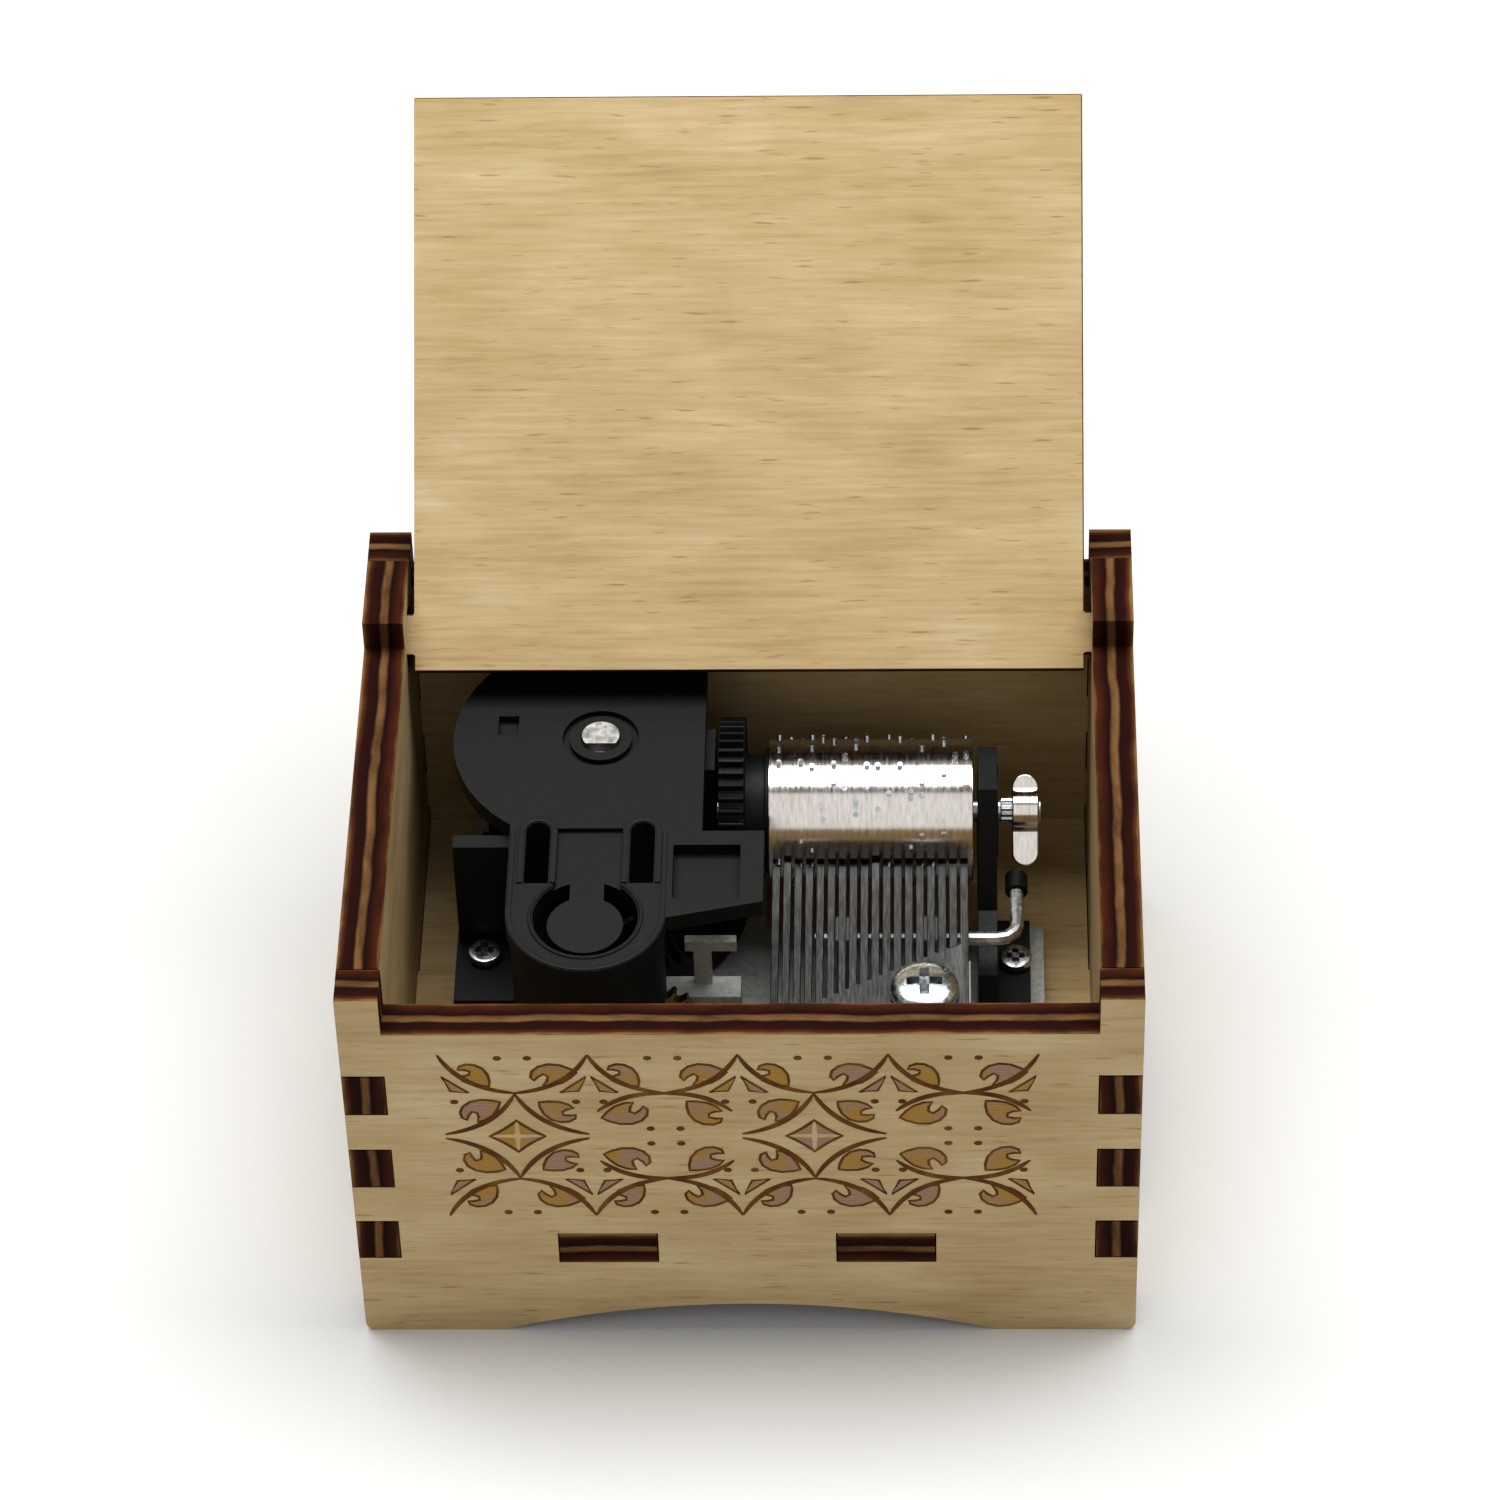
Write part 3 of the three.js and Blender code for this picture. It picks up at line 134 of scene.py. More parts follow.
def birch_veneer():
    """Sanded birch veneer: pale and dull, with hair-fine fibres, short dark flecks and cloudy patches."""
    material, tree, shader = new_material("birch_veneer_sanded", 0.62, specular=0.3)
    grain = add(tree, "ShaderNodeAttribute", attribute_name="grain").outputs["Vector"]
    # Fibres are about 0.5 mm apart and 9 mm long.
    fibre_place = add(tree, "ShaderNodeMapping", {"Vector": grain, "Scale": (0.11, 1.9, 1.0)})
    fibres = add(
        tree,
        "ShaderNodeTexNoise",
        {
            "Vector": fibre_place.outputs[0],
            "Scale": 1.0,
            "Detail": 5.0,
            "Roughness": 0.62,
            "Distortion": 0.25,
        },
    )
    # Clouds are about 14 mm long and 5 mm wide.
    cloud_place = add(tree, "ShaderNodeMapping", {"Vector": grain, "Scale": (0.07, 0.2, 1.0)})
    clouds = add(
        tree,
        "ShaderNodeTexNoise",
        {"Vector": cloud_place.outputs[0], "Scale": 1.0, "Detail": 3.0, "Roughness": 0.55},
    )
    # Flecks are 2 to 5 mm long and 0.3 mm wide.
    fleck_place = add(
        tree,
        "ShaderNodeMapping",
        {"Vector": grain, "Scale": (0.3, 3.0, 1.0), "Location": (7, 3, 0)},
    )
    flecks = add(
        tree,
        "ShaderNodeTexNoise",
        {"Vector": fleck_place.outputs[0], "Scale": 1.0, "Detail": 1.0, "Roughness": 0.4},
    )
    tone = add(
        tree,
        "ShaderNodeValToRGB",
        {"Fac": fibres.outputs["Fac"]},
        stops=[(0.25, "#A48C60"), (0.45, "#BDA57A"), (0.6, "#C9B389"), (0.8, "#D5C29D")],
    )
    cloud_tone = add(
        tree,
        "ShaderNodeValToRGB",
        {"Fac": clouds.outputs["Fac"]},
        stops=[(0.3, "#AB9164"), (0.55, "#C4AC82"), (0.75, "#D4C4A1")],
    )
    mixed = add(
        tree,
        "ShaderNodeMix",
        {0: 0.5, 6: tone.outputs["Color"], 7: cloud_tone.outputs["Color"]},
        data_type="RGBA",
    )
    fleck_share = add(
        tree,
        "ShaderNodeMapRange",
        {"Value": flecks.outputs["Fac"], "From Min": 0.66, "From Max": 0.78, "To Max": 0.55},
    )
    final = add(
        tree,
        "ShaderNodeMix",
        {0: fleck_share.outputs[0], 6: mixed.outputs[2], 7: colour("#8A6638")},
        data_type="RGBA",
    )
    tree.links.new(final.outputs[2], shader.inputs["Base Color"])
    set_bump(tree, shader, fibres.outputs["Fac"], 0.05, 0.5)
    return material


def laser_cut_edge():
    """Laser-cut plywood edge: charred red-brown plies with paler, half-scorched layers between them."""
    material, tree, shader = new_material("plywood_edge_laser_charred", 0.8, specular=0.12)
    grain = add(tree, "ShaderNodeAttribute", attribute_name="grain").outputs["Vector"]
    parts = add(tree, "ShaderNodeSeparateXYZ", {"Vector": grain})
    # The layers waver along the edge over about 6 mm.
    wave_place = add(tree, "ShaderNodeMapping", {"Vector": grain, "Scale": (0.16, 0.16, 0.4)})
    wave = add(tree, "ShaderNodeTexNoise", {"Vector": wave_place.outputs[0], "Scale": 1.0, "Detail": 3.0})
    shift = add(
        tree,
        "ShaderNodeMapRange",
        {"Value": wave.outputs["Fac"], "From Min": 0.3, "From Max": 0.7, "To Min": -0.05, "To Max": 0.05},
    )
    depth = add(tree, "ShaderNodeMath", {0: parts.outputs["Z"], 1: shift.outputs[0]}, operation="ADD")
    plies = add(
        tree,
        "ShaderNodeValToRGB",
        {"Fac": depth.outputs[0]},
        stops=[
            (0.0, "#6E4F2B"),
            (0.05, "#4A250F"),
            (0.24, "#341107"),
            (0.34, "#180603"),
            (0.41, "#6E4E30"),
            (0.53, "#785936"),
            (0.6, "#230904"),
            (0.82, "#320F08"),
            (0.92, "#55331A"),
            (0.98, "#86653C"),
        ],
    )
    # Soot comes in patches 3 to 10 mm long.
    soot_place = add(
        tree,
        "ShaderNodeMapping",
        {"Vector": grain, "Scale": (0.22, 0.22, 2.5), "Location": (3, 9, 1)},
    )
    soot = add(
        tree,
        "ShaderNodeTexNoise",
        {"Vector": soot_place.outputs[0], "Scale": 1.0, "Detail": 4.0, "Roughness": 0.65},
    )
    soot_share = add(
        tree,
        "ShaderNodeMapRange",
        {"Value": soot.outputs["Fac"], "From Min": 0.42, "From Max": 0.68, "To Max": 0.6},
    )
    sooted = add(
        tree,
        "ShaderNodeMix",
        {0: soot_share.outputs[0], 6: plies.outputs["Color"], 7: colour("#1C0804")},
        data_type="RGBA",
    )
    tree.links.new(sooted.outputs[2], shader.inputs["Base Color"])
    set_bump(tree, shader, plies.outputs["Color"], 0.08, 0.6)
    return material


def engraved_line():
    """Laser-engraved line in birch: scorched brown, dull."""
    material, tree, shader = new_material("birch_engraved_line", 0.85, specular=0.12)
    place = add(tree, "ShaderNodeTexCoord").outputs["Object"]
    # The burn varies over about 2 mm.
    burn = add(tree, "ShaderNodeTexNoise", {"Vector": place, "Scale": 500.0, "Detail": 2.0})
    tone = add(
        tree,
        "ShaderNodeValToRGB",
        {"Fac": burn.outputs["Fac"]},
        stops=[(0.3, "#5A3A1A"), (0.55, "#6C4A24"), (0.75, "#7E5C34")],
    )
    tree.links.new(tone.outputs["Color"], shader.inputs["Base Color"])
    set_bump(tree, shader, burn.outputs["Fac"], 0.03)
    return material


def engraved_fill():
    """Raster-engraved birch: scorched ochre that turns to a greyish rose, with scan lines."""
    material, tree, shader = new_material("birch_engraved_fill", 0.85, specular=0.12)
    place = add(tree, "ShaderNodeTexCoord").outputs["Object"]
    # Patches of each tone are about 4 mm wide.
    patches = add(tree, "ShaderNodeTexNoise", {"Vector": place, "Scale": 240.0, "Detail": 1.0})
    tone = add(
        tree,
        "ShaderNodeValToRGB",
        {"Fac": patches.outputs["Fac"]},
        stops=[(0.42, "#AE8A48"), (0.5, "#AB8A5E"), (0.58, "#A68976")],
    )
    # The real scan lines are 0.1 mm apart; they are drawn at 0.3 mm so that they show.
    scan_place = add(tree, "ShaderNodeMapping", {"Vector": place, "Scale": (0.3, 1.0, 1.0)})
    scan = add(
        tree,
        "ShaderNodeTexWave",
        {"Vector": scan_place.outputs[0], "Scale": 1050.0, "Distortion": 1.0},
        bands_direction="Z",
    )
    share = add(tree, "ShaderNodeMapRange", {"Value": scan.outputs["Fac"], "To Max": 0.22})
    lined = add(
        tree,
        "ShaderNodeMix",
        {0: share.outputs[0], 6: tone.outputs["Color"], 7: colour("#7E5A34")},
        data_type="RGBA",
    )
    tree.links.new(lined.outputs[2], shader.inputs["Base Color"])
    set_bump(tree, shader, scan.outputs["Fac"], 0.03)
    return material


def grained(
    name,
    roughness,
    metallic,
    base,
    spread,
    grain_mm,
    bump_mm,
    stretch=(1, 1, 1),
    rough_spread=0.08,
    specular=0.5,
):
    """A finish whose tone varies a little around base, with a grain of a stated size.

    spread holds its darkest and palest tones, and stretch draws the grain out."""
    material, tree, shader = new_material(name, roughness, metallic, specular)
    place = add(tree, "ShaderNodeTexCoord").outputs["Object"]
    stretched = add(tree, "ShaderNodeMapping", {"Vector": place, "Scale": stretch})
    grain = add(
        tree,
        "ShaderNodeTexNoise",
        {"Vector": stretched.outputs[0], "Scale": 1 / (grain_mm * MM), "Detail": 3.0, "Roughness": 0.6},
    )
    tone = add(
        tree,
        "ShaderNodeValToRGB",
        {"Fac": grain.outputs["Fac"]},
        stops=[(0.3, spread[0]), (0.5, base), (0.7, spread[1])],
    )
    gloss = add(
        tree,
        "ShaderNodeMapRange",
        {
            "Value": grain.outputs["Fac"],
            "From Min": 0.3,
            "From Max": 0.7,
            "To Min": roughness - rough_spread,
            "To Max": roughness + rough_spread,
        },
    )
    tree.links.new(tone.outputs["Color"], shader.inputs["Base Color"])
    tree.links.new(gloss.outputs[0], shader.inputs["Roughness"])
    set_bump(tree, shader, grain.outputs["Fac"], bump_mm, 0.6)
    return material


VENEER = birch_veneer()
EDGE = laser_cut_edge()
ENGRAVED_LINE = engraved_line()
ENGRAVED_FILL = engraved_fill()
# Acetal, injection moulded: satin black with a fine spark-eroded grain.
ACETAL = grained(
    "acetal_moulded_black",
    0.52,
    0.0,
    "#0D0F10",
    ("#0A0B0C", "#111315"),
    grain_mm=0.22,
    bump_mm=0.015,
    specular=0.28,
)
# Bright nickel plate on drawn brass: near mirror with faint drawing marks round the tube.
NICKEL = grained(
    "nickel_plate_bright",
    0.17,
    1.0,
    "#DAD4CE",
    ("#C9C1B9", "#E6E2DE"),
    grain_mm=1.1,
    bump_mm=0.004,
    stretch=(5, 0.8, 0.8),
    rough_spread=0.05,
)
# Ground spring steel: satin, with grinding marks along the teeth. Its grey is painted shade, darkened well
# below real steel for the dark surroundings it reflects.
COMB_STEEL_SHADE_DARKENED = grained(
    "spring_steel_ground_shade_darkened",
    0.42,
    1.0,
    "#4D4E4D",
    ("#40413F", "#5D5E5C"),
    grain_mm=0.9,
    bump_mm=0.006,
    stretch=(5, 0.5, 1),
)
# Die-cast zinc alloy with its dull oxide skin: matt pale grey, slightly mottled.
CAST_ZINC = grained("zinc_die_cast", 0.55, 0.35, "#B0B2AE", ("#A0A29E", "#BFC1BD"), 0.5, 0.02)
# Bright turned steel: pale and satin.
TURNED_STEEL = grained("steel_turned_bright", 0.42, 1.0, "#A9A9A6", ("#8E8E8B", "#C4C4C1"), 0.5, 0.008)
# Bright zinc plate on steel: cool silver with small variations in gloss.
ZINC_PLATE = grained("steel_zinc_plated", 0.26, 1.0, "#BFC2C4", ("#A9ADB1", "#D4D6D8"), 0.6, 0.006)
# Turned brass, gone dull: warm yellow-brown metal.
BRASS = grained("brass_turned", 0.34, 1.0, "#8E7240", ("#7A6034", "#A1844E"), 0.5, 0.006)
# Blued strip steel: dark, with a cold cast.
BLUED_STEEL = grained("spring_steel_blued", 0.34, 1.0, "#54565C", ("#45474E", "#666870"), 0.6, 0.005)


# ---------- meshes ----------
WELD = 2e-6  # metres; points nearer than this are one
FLAT_ANGLE = math.radians(0.6)  # neighbours that differ by less are one flat face
SHARP_DEGREES = 32


def welded_copy(node, whole_faces=True):
    """A CAD node's mesh in millimetres, its triangles merged and, where asked, joined to whole faces."""
    bm = bmesh.new()
    bm.from_mesh(frame["nodes"][node].data)
    bmesh.ops.remove_doubles(bm, verts=bm.verts, dist=WELD)
    bm.transform(Matrix.Scale(1 / MM, 4))
    if whole_faces:
        bmesh.ops.dissolve_limit(bm, angle_limit=FLAT_ANGLE, verts=bm.verts, edges=bm.edges)
    return bm


def object_of(name, bm, materials):
    mesh = bpy.data.meshes.new(name)
    bm.to_mesh(mesh)
    bm.free()
    for material in materials:
        mesh.materials.append(material)
    made = bpy.data.objects.new(name, mesh)
    bpy.context.scene.collection.objects.link(made)
    return made


def freeze(made):
    """Turns an object and its modifiers into a plain mesh."""
    bpy.context.view_layer.update()
    graph = bpy.context.evaluated_depsgraph_get()
    finished = made.evaluated_get(graph)
    mesh = bpy.data.meshes.new_from_object(finished, preserve_all_data_layers=True, depsgraph=graph)
    made.modifiers.clear()
    made.data = mesh


def rounded(made, width_mm, segments=2, angle=SHARP_DEGREES, edge_slot=-1):
    """Rounds the edges of an object that is still in millimetres, and shades it.

    Edges that turn by more than angle, in degrees, are rounded. Their new faces take edge_slot."""
    mesh = made.data
    mesh.shade_smooth()
    mesh.set_sharp_from_angle(angle=math.radians(angle))
    if width_mm > 0:
        bevel = made.modifiers.new("edges", "BEVEL")
        bevel.width = width_mm
        bevel.segments = segments
        bevel.limit_method = "ANGLE"
        bevel.angle_limit = math.radians(angle)
        bevel.use_clamp_overlap = True
        bevel.material = edge_slot
        bevel.miter_outer = "MITER_ARC"
    weighted = made.modifiers.new("flat faces stay flat", "WEIGHTED_NORMAL")
    weighted.keep_sharp = True
    weighted.weight = 100
    freeze(made)


def hand_over(made, body, slot, *nodes):
    """Brings a finished piece to metres and lets it stand for its CAD nodes."""
    made.data.transform(Matrix.Scale(MM, 4))
    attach(made, body)
    if nodes:
        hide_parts(*nodes)


def body_of(node):
    return next(b for b, nodes in frame["record"]["behaviour"]["bodies"].items() if node in nodes)


def slot_of(node):
    return next(s["material_slot"] for s in frame["record"]["subparts"] if s["node"] == node)


def refined(node, material, width_mm=0.12, segments=2, angle=SHARP_DEGREES):
    """A CAD node with rounded edges in its real finish."""
    made = object_of(node + "_finished", welded_copy(node), [material])
    rounded(made, width_mm, segments, angle)
    hand_over(made, body_of(node), slot_of(node), node)


def cut_by(made, tool):
    """Cuts an object by a tool, whose material stays on the faces that it leaves, and removes the tool."""
    modifier = made.modifiers.new("cut", "BOOLEAN")
    modifier.operation = "DIFFERENCE"
    modifier.object = tool
    modifier.solver = "MANIFOLD"
    modifier.material_mode = "TRANSFER"
    freeze(made)
    bpy.data.objects.remove(tool)


def prism(bm, outline, y0, y1):
    """Adds a closed prism to a bmesh: an outline in X and Z, drawn from y0 to y1."""
    area = sum(a[0] * b[1] - b[0] * a[1] for a, b in zip(outline, outline[1:] + outline[:1]))
    ring = outline if area > 0 else outline[::-1]
    near = [bm.verts.new((x, y0, z)) for x, z in ring]
    far = [bm.verts.new((x, y1, z)) for x, z in ring]
    bm.faces.new(near)
    bm.faces.new(far[::-1])
    for k in range(len(ring)):
        j = (k + 1) % len(ring)
        bm.faces.new((near[j], near[k], far[k], far[j]))


def join_rings(bm, rings, closed=False):
    """Adds the walls from each ring of vertices to the next, and the ends of a row that isn't closed."""
    following = rings[1:] + rings[:1] if closed else rings[1:]
    for one, two in zip(rings, following):
        for i in range(len(one)):
            j = (i + 1) % len(one)
            bm.faces.new((one[i], one[j], two[j], two[i]))
    if not closed:
        bm.faces.new(rings[0][::-1])
        bm.faces.new(rings[-1])


def turned(profile, sides=48):
    """A closed bmesh turned about Z from a profile of (radius, height) that starts and ends on the axis."""
    bm = bmesh.new()
    rings = []
    for radius, height in profile:
        if radius == 0:
            rings.append([bm.verts.new((0, 0, height))])
            continue
        steps = [2 * math.pi * k / sides for k in range(sides)]
        rings.append([bm.verts.new((radius * math.cos(a), radius * math.sin(a), height)) for a in steps])
    for low, high in zip(rings, rings[1:]):
        for k in range(sides):
            j = (k + 1) % sides
            if len(low) == 1:
                bm.faces.new((low[0], high[j], high[k]))
            elif len(high) == 1:
                bm.faces.new((low[k], low[j], high[0]))
            else:
                bm.faces.new((low[k], low[j], high[j], high[k]))
    bmesh.ops.recalc_face_normals(bm, faces=bm.faces)
    return bm


# ---------- plywood ----------
VENEER_SLOT = 0
EDGE_SLOT = 1
BROAD_FACE = 0.9  # least cosine between a veneer face's normal and the board's thickness
FACE_DEPTH = 0.01  # points within this of the outermost one are on the outer face
ARRIS = 0.1
ARRIS_DEGREES = 50


def ply_materials(bm, through):
    """Broad faces show veneer, cut faces show charred plies. through is the panel's thickness direction."""
    for face in bm.faces:
        broad = abs(face.normal.dot(through)) > BROAD_FACE
        face.material_index = VENEER_SLOT if broad else EDGE_SLOT


def store_grain(made, along, through, start):
    """Stores each point's place in its board: along the grain and across it in mm, and 0 to 1 through it.

    start shifts the pattern, so that no two boards look alike."""
    across = through.cross(along)
    depth = [v.co.dot(through) for v in made.data.vertices]
    low, high = min(depth), max(depth)
    attribute = made.data.attributes.new("grain", "FLOAT_VECTOR", "POINT")
    for vertex, place in zip(made.data.vertices, depth):
        share = (place - low) / (high - low)
        attribute.data[vertex.index].vector = (
            vertex.co.dot(along) + start[0],
            vertex.co.dot(across) + start[1],
            share + start[2],
        )


def board(node, along, start, set_back=0.0):
    """A plywood panel: veneer faces, charred edges with slightly broken arrises.

    along is the grain's direction, start its pattern's shift, and set_back sinks the outer face."""
    bm = welded_copy(node, whole_faces=False)
    through = max(bm.faces, key=lambda face: face.calc_area()).normal.copy()
    if through.dot(middle_mm(node)) < 0:
        through.negate()
    ply_materials(bm, through)
    outermost = max(v.co.dot(through) for v in bm.verts)
    for vertex in bm.verts:
        if outermost - vertex.co.dot(through) < FACE_DEPTH:
            vertex.co -= through * set_back
    made = object_of(node + "_plywood", bm, [VENEER, EDGE])
    rounded(made, ARRIS, 1, ARRIS_DEGREES, EDGE_SLOT)
    store_grain(made, along, through, start)
    hand_over(made, body_of(node), "plywood", node)


# ---------- engraved ornament on the front panel ----------
SWAGS = 4
CUSP_STEP = 11.97  # from one cusp to the next
CUSP_Z = 9.75  # above the middle line
SWAG_DROP = 4.55
SWAG_SAG = 1.1
ORNAMENT_Z = 24.3
ORNAMENT_X = -0.25
ORNAMENT_HALF = SWAGS / 2 * CUSP_STEP
VINE_WIDTH = 0.5
VINE_TAPER = 0.35  # a vine's width at its ends, by its full width
OUTLINE_WIDTH = 0.24
DIAMOND_WIDTH = 0.27
DOT_RADIUS = 0.27
DOT_STRETCH = 1.3
SKIN_BACK = 0.03  # the veneer lies this far behind the panel's size
FILL_BACK = 0.018  # and the scorched shapes lie between it and their outlines
LINE_BACK = 0.006
SKIN_ROOT = 0.3
LAYER = 5e-5  # crossing lines each have their own depth


def stroke(points, width, taper=VINE_TAPER):
    """A brush line along points, thinner towards its ends: its points with half its width at each."""
    last = len(points) - 1
    swell = [math.sin(math.pi * k / last) ** 0.5 for k in range(last + 1)]
    return [(point, width / 2 * (taper + (1 - taper) * s)) for point, s in zip(points, swell)]


def ribbon(bm, line, y0, y1):
    """Adds a closed strip to a bmesh: a line of points with half widths in X and Z, drawn from y0 to y1."""
    last = len(line) - 1
    closed = line[0][0] == line[last][0]
    rings = []
    for k, ((x, z), half) in enumerate(line[:-1] if closed else line):
        before = Vector(line[k - 1 if k else (last - 1 if closed else 0)][0])
        after = Vector(line[min(k + 1, last)][0])
        way = (after - before).normalized()
        corners = [(x - way.y * half, z + way.x * half), (x + way.y * half, z - way.x * half)]
        (lx, lz), (rx, rz) = corners
        places = ((lx, y0, lz), (rx, y0, rz), (rx, y1, rz), (lx, y1, lz))
        rings.append([bm.verts.new(place) for place in places])
    join_rings(bm, rings, closed)


def arc(start, end, bulge, steps=10):
    """Points on a parabola from start to end; bulge is its height, to the left of the way."""
    a, b = Vector(start), Vector(end)
    way = b - a
    side = Vector((-way.y, way.x)).normalized()
    points = []
    for k in range(steps + 1):
        t = k / steps
        points.append(tuple(a + way * t + side * (4 * bulge * t * (1 - t))))
    return points


# A leaf of length 1 from its stem at the origin: lower side, tip, hooked notch, upper side.
LEAF = (
    (0.0, 0.0),
    (0.12, -0.13),
    (0.32, -0.27),
    (0.56, -0.33),
    (0.78, -0.28),
    (0.93, -0.15),
    (0.99, 0.02),
    (0.93, 0.14),
    (0.84, 0.04),
    (0.7, -0.04),
    (0.62, 0.05),
    (0.66, 0.18),
    (0.76, 0.3),
    (0.58, 0.33),
    (0.36, 0.28),
    (0.16, 0.15),
)


def leaf(stem, angle, length):
    """A broad leaf with a hooked notch beside its tip, turned by angle in degrees about its stem."""
    turn = Matrix.Rotation(math.radians(angle), 2)
    placed = [turn @ Vector((x * length, y * length)) for x, y in LEAF]
    return [(stem[0] + p.x, stem[1] + p.y) for p in placed]


def hollow_diamond(centre, half_width, half_height, sag):
    """Outline of a diamond whose sides bend inwards."""
    x, z = centre
    corners = [(x + half_width, z), (x, z + half_height), (x - half_width, z), (x, z - half_height)]
    outline = []
    for start, end in zip(corners, corners[1:] + corners[:1]):
        outline += arc(start, end, sag, 6)[:-1]
    return outline


def plus_quarters(centre, half_width, half_height, gap):
    """Four small triangles of a diamond that leave an uncut plus between them."""
    x, z = centre
    made = []
    for sx, sz in ((1, 1), (1, -1), (-1, 1), (-1, -1)):
        inner = (x + sx * gap, z + sz * gap)
        far_x = (x + sx * half_width, z + sz * gap * 0.6)
        far_z = (x + sx * gap * 0.6, z + sz * half_height)
        made.append([inner, far_x, far_z])
    return made


def dot(x, z, sides=8):
    steps = [2 * math.pi * k / sides for k in range(sides)]
    breadth = DOT_STRETCH * DOT_RADIUS
    return [(x + breadth * math.cos(a), z + DOT_RADIUS * math.sin(a)) for a in steps]


def ornament():
    """A mirrored vine pattern in X and Z: brush lines, filled shapes and dots."""
    lines, fills, dots = [], [], []

    def both_lines(points, width=VINE_WIDTH, taper=VINE_TAPER):
        lines.append(stroke(points, width, taper))
        lines.append(stroke([(x, -z) for x, z in points], width, taper))

    def both_fills(outline, into=fills):
        into.append(outline)
        into.append([(x, -z) for x, z in outline])

    def edged(outline):
        both_fills(outline)
        both_lines(outline + outline[:1], OUTLINE_WIDTH, 1.0)

    swag_z = CUSP_Z - SWAG_DROP
    for k in range(SWAGS):
        left = -ORNAMENT_HALF + k * CUSP_STEP
        right = left + CUSP_STEP
        mid = (left + right) / 2
        # Outer swag: falls from a cusp, runs flat and climbs to the next.
        both_lines(arc((left, CUSP_Z), (mid, swag_z), -SWAG_SAG))
        both_lines(arc((mid, swag_z), (right, CUSP_Z), -SWAG_SAG))
        edged(leaf((left + 4.0, CUSP_Z - 3.7), 133, 3.3))
        edged(leaf((right - 0.9, CUSP_Z - 2.1), 187, 3.8))
        for side in (-1, 1):
            both_fills(dot(mid + side * 1.2, CUSP_Z - 0.4), dots)
        if k % 2 == 0:
            # Hollow diamond between the rows, with a small one inside.
            for side in (-1, 1):
                both_lines(arc((mid, swag_z - 0.1), (mid + side * 5.8, 0.25), -side * 1.0))
            edged(leaf((mid - 1.2, 4.1), 209, 3.7))
            edged(leaf((mid + 1.9, 4.1), -36, 3.5))
            fills.extend(plus_quarters((mid, 0), 2.0, 1.6, 0.22))
            small = hollow_diamond((mid, 0), 2.25, 1.9, 0.12)
            lines.append(stroke(small + small[:1], DIAMOND_WIDTH, 1.0))
        else:
            # Arch that mirrors the swag, with two leaves under it.
            both_lines(arc((mid - 5.4, swag_z - 2.2), (mid, swag_z - 0.1), 0.7))
            both_lines(arc((mid, swag_z - 0.1), (mid + 5.4, swag_z - 2.2), 0.7))
            edged(leaf((mid - 5.1, 2.2), 14, 3.9))
            edged(leaf((mid + 1.8, 4.2), -45, 3.7))
            for side in (-1, 1):
                both_fills(dot(mid + side * 1.2, 0.9), dots)
    for k in range(SWAGS + 1):
        x = -ORNAMENT_HALF + k * CUSP_STEP
        for side in (-1, 1):
            if abs(x + side) > ORNAMENT_HALF:
                continue
            # Half of a triangle under the cusp, beside the bare veneer in its middle.
            inner, outer, foot = (0.2, 2.6), (2.3, 4.5), (0.85, 4.3)
            edged([(x + side * out, CUSP_Z - down) for out, down in (inner, outer, foot)])
            both_fills(dot(x + side * 1.1, CUSP_Z - 5.6), dots)
    return lines, fills, dots


def build_ornament():
    """The scorched skin of the engraving, let into the front panel's face."""
    lines, fills, dots = ornament()
    for name, material, back, outlines, strokes in (
        ("ornament_fills", ENGRAVED_FILL, FILL_BACK, fills, []),
        ("ornament_lines", ENGRAVED_LINE, LINE_BACK, dots, lines),
    ):
        bm = bmesh.new()
        for outline in outlines:
            prism(bm, outline, back, SKIN_ROOT)
        for k, line in enumerate(strokes):
            ribbon(bm, line, back + k * LAYER, SKIN_ROOT)
        bmesh.ops.recalc_face_normals(bm, faces=bm.faces)
        bm.transform(Matrix.Translation((ORNAMENT_X, FRONT_FACE, ORNAMENT_Z)))
        made = object_of(name, bm, [material])
        hand_over(made, "case", "plywood")


def build_case():
    across = Vector((1, 0, 0))
    back = Vector((0, 1, 0))
    board("front_panel", across, (0, 0, 0), SKIN_BACK)
    board("back_panel", across, (60, 20, 0))
    board("left_panel", back, (130, 50, 0))
    board("right_panel", back, (190, 10, 0))
    board("floor_panel", across, (250, 70, 0))
    board("lid", across, (320, 90, 0))
    build_ornament()


# ---------- pinned cylinder ----------
PINS = 150
PIN_SEED = 11
PIN_SHARP = math.radians(40)
SLEEVE_SIDES = 128
SLEEVE_END = 0.12  # radius of the sleeve's rounded ends


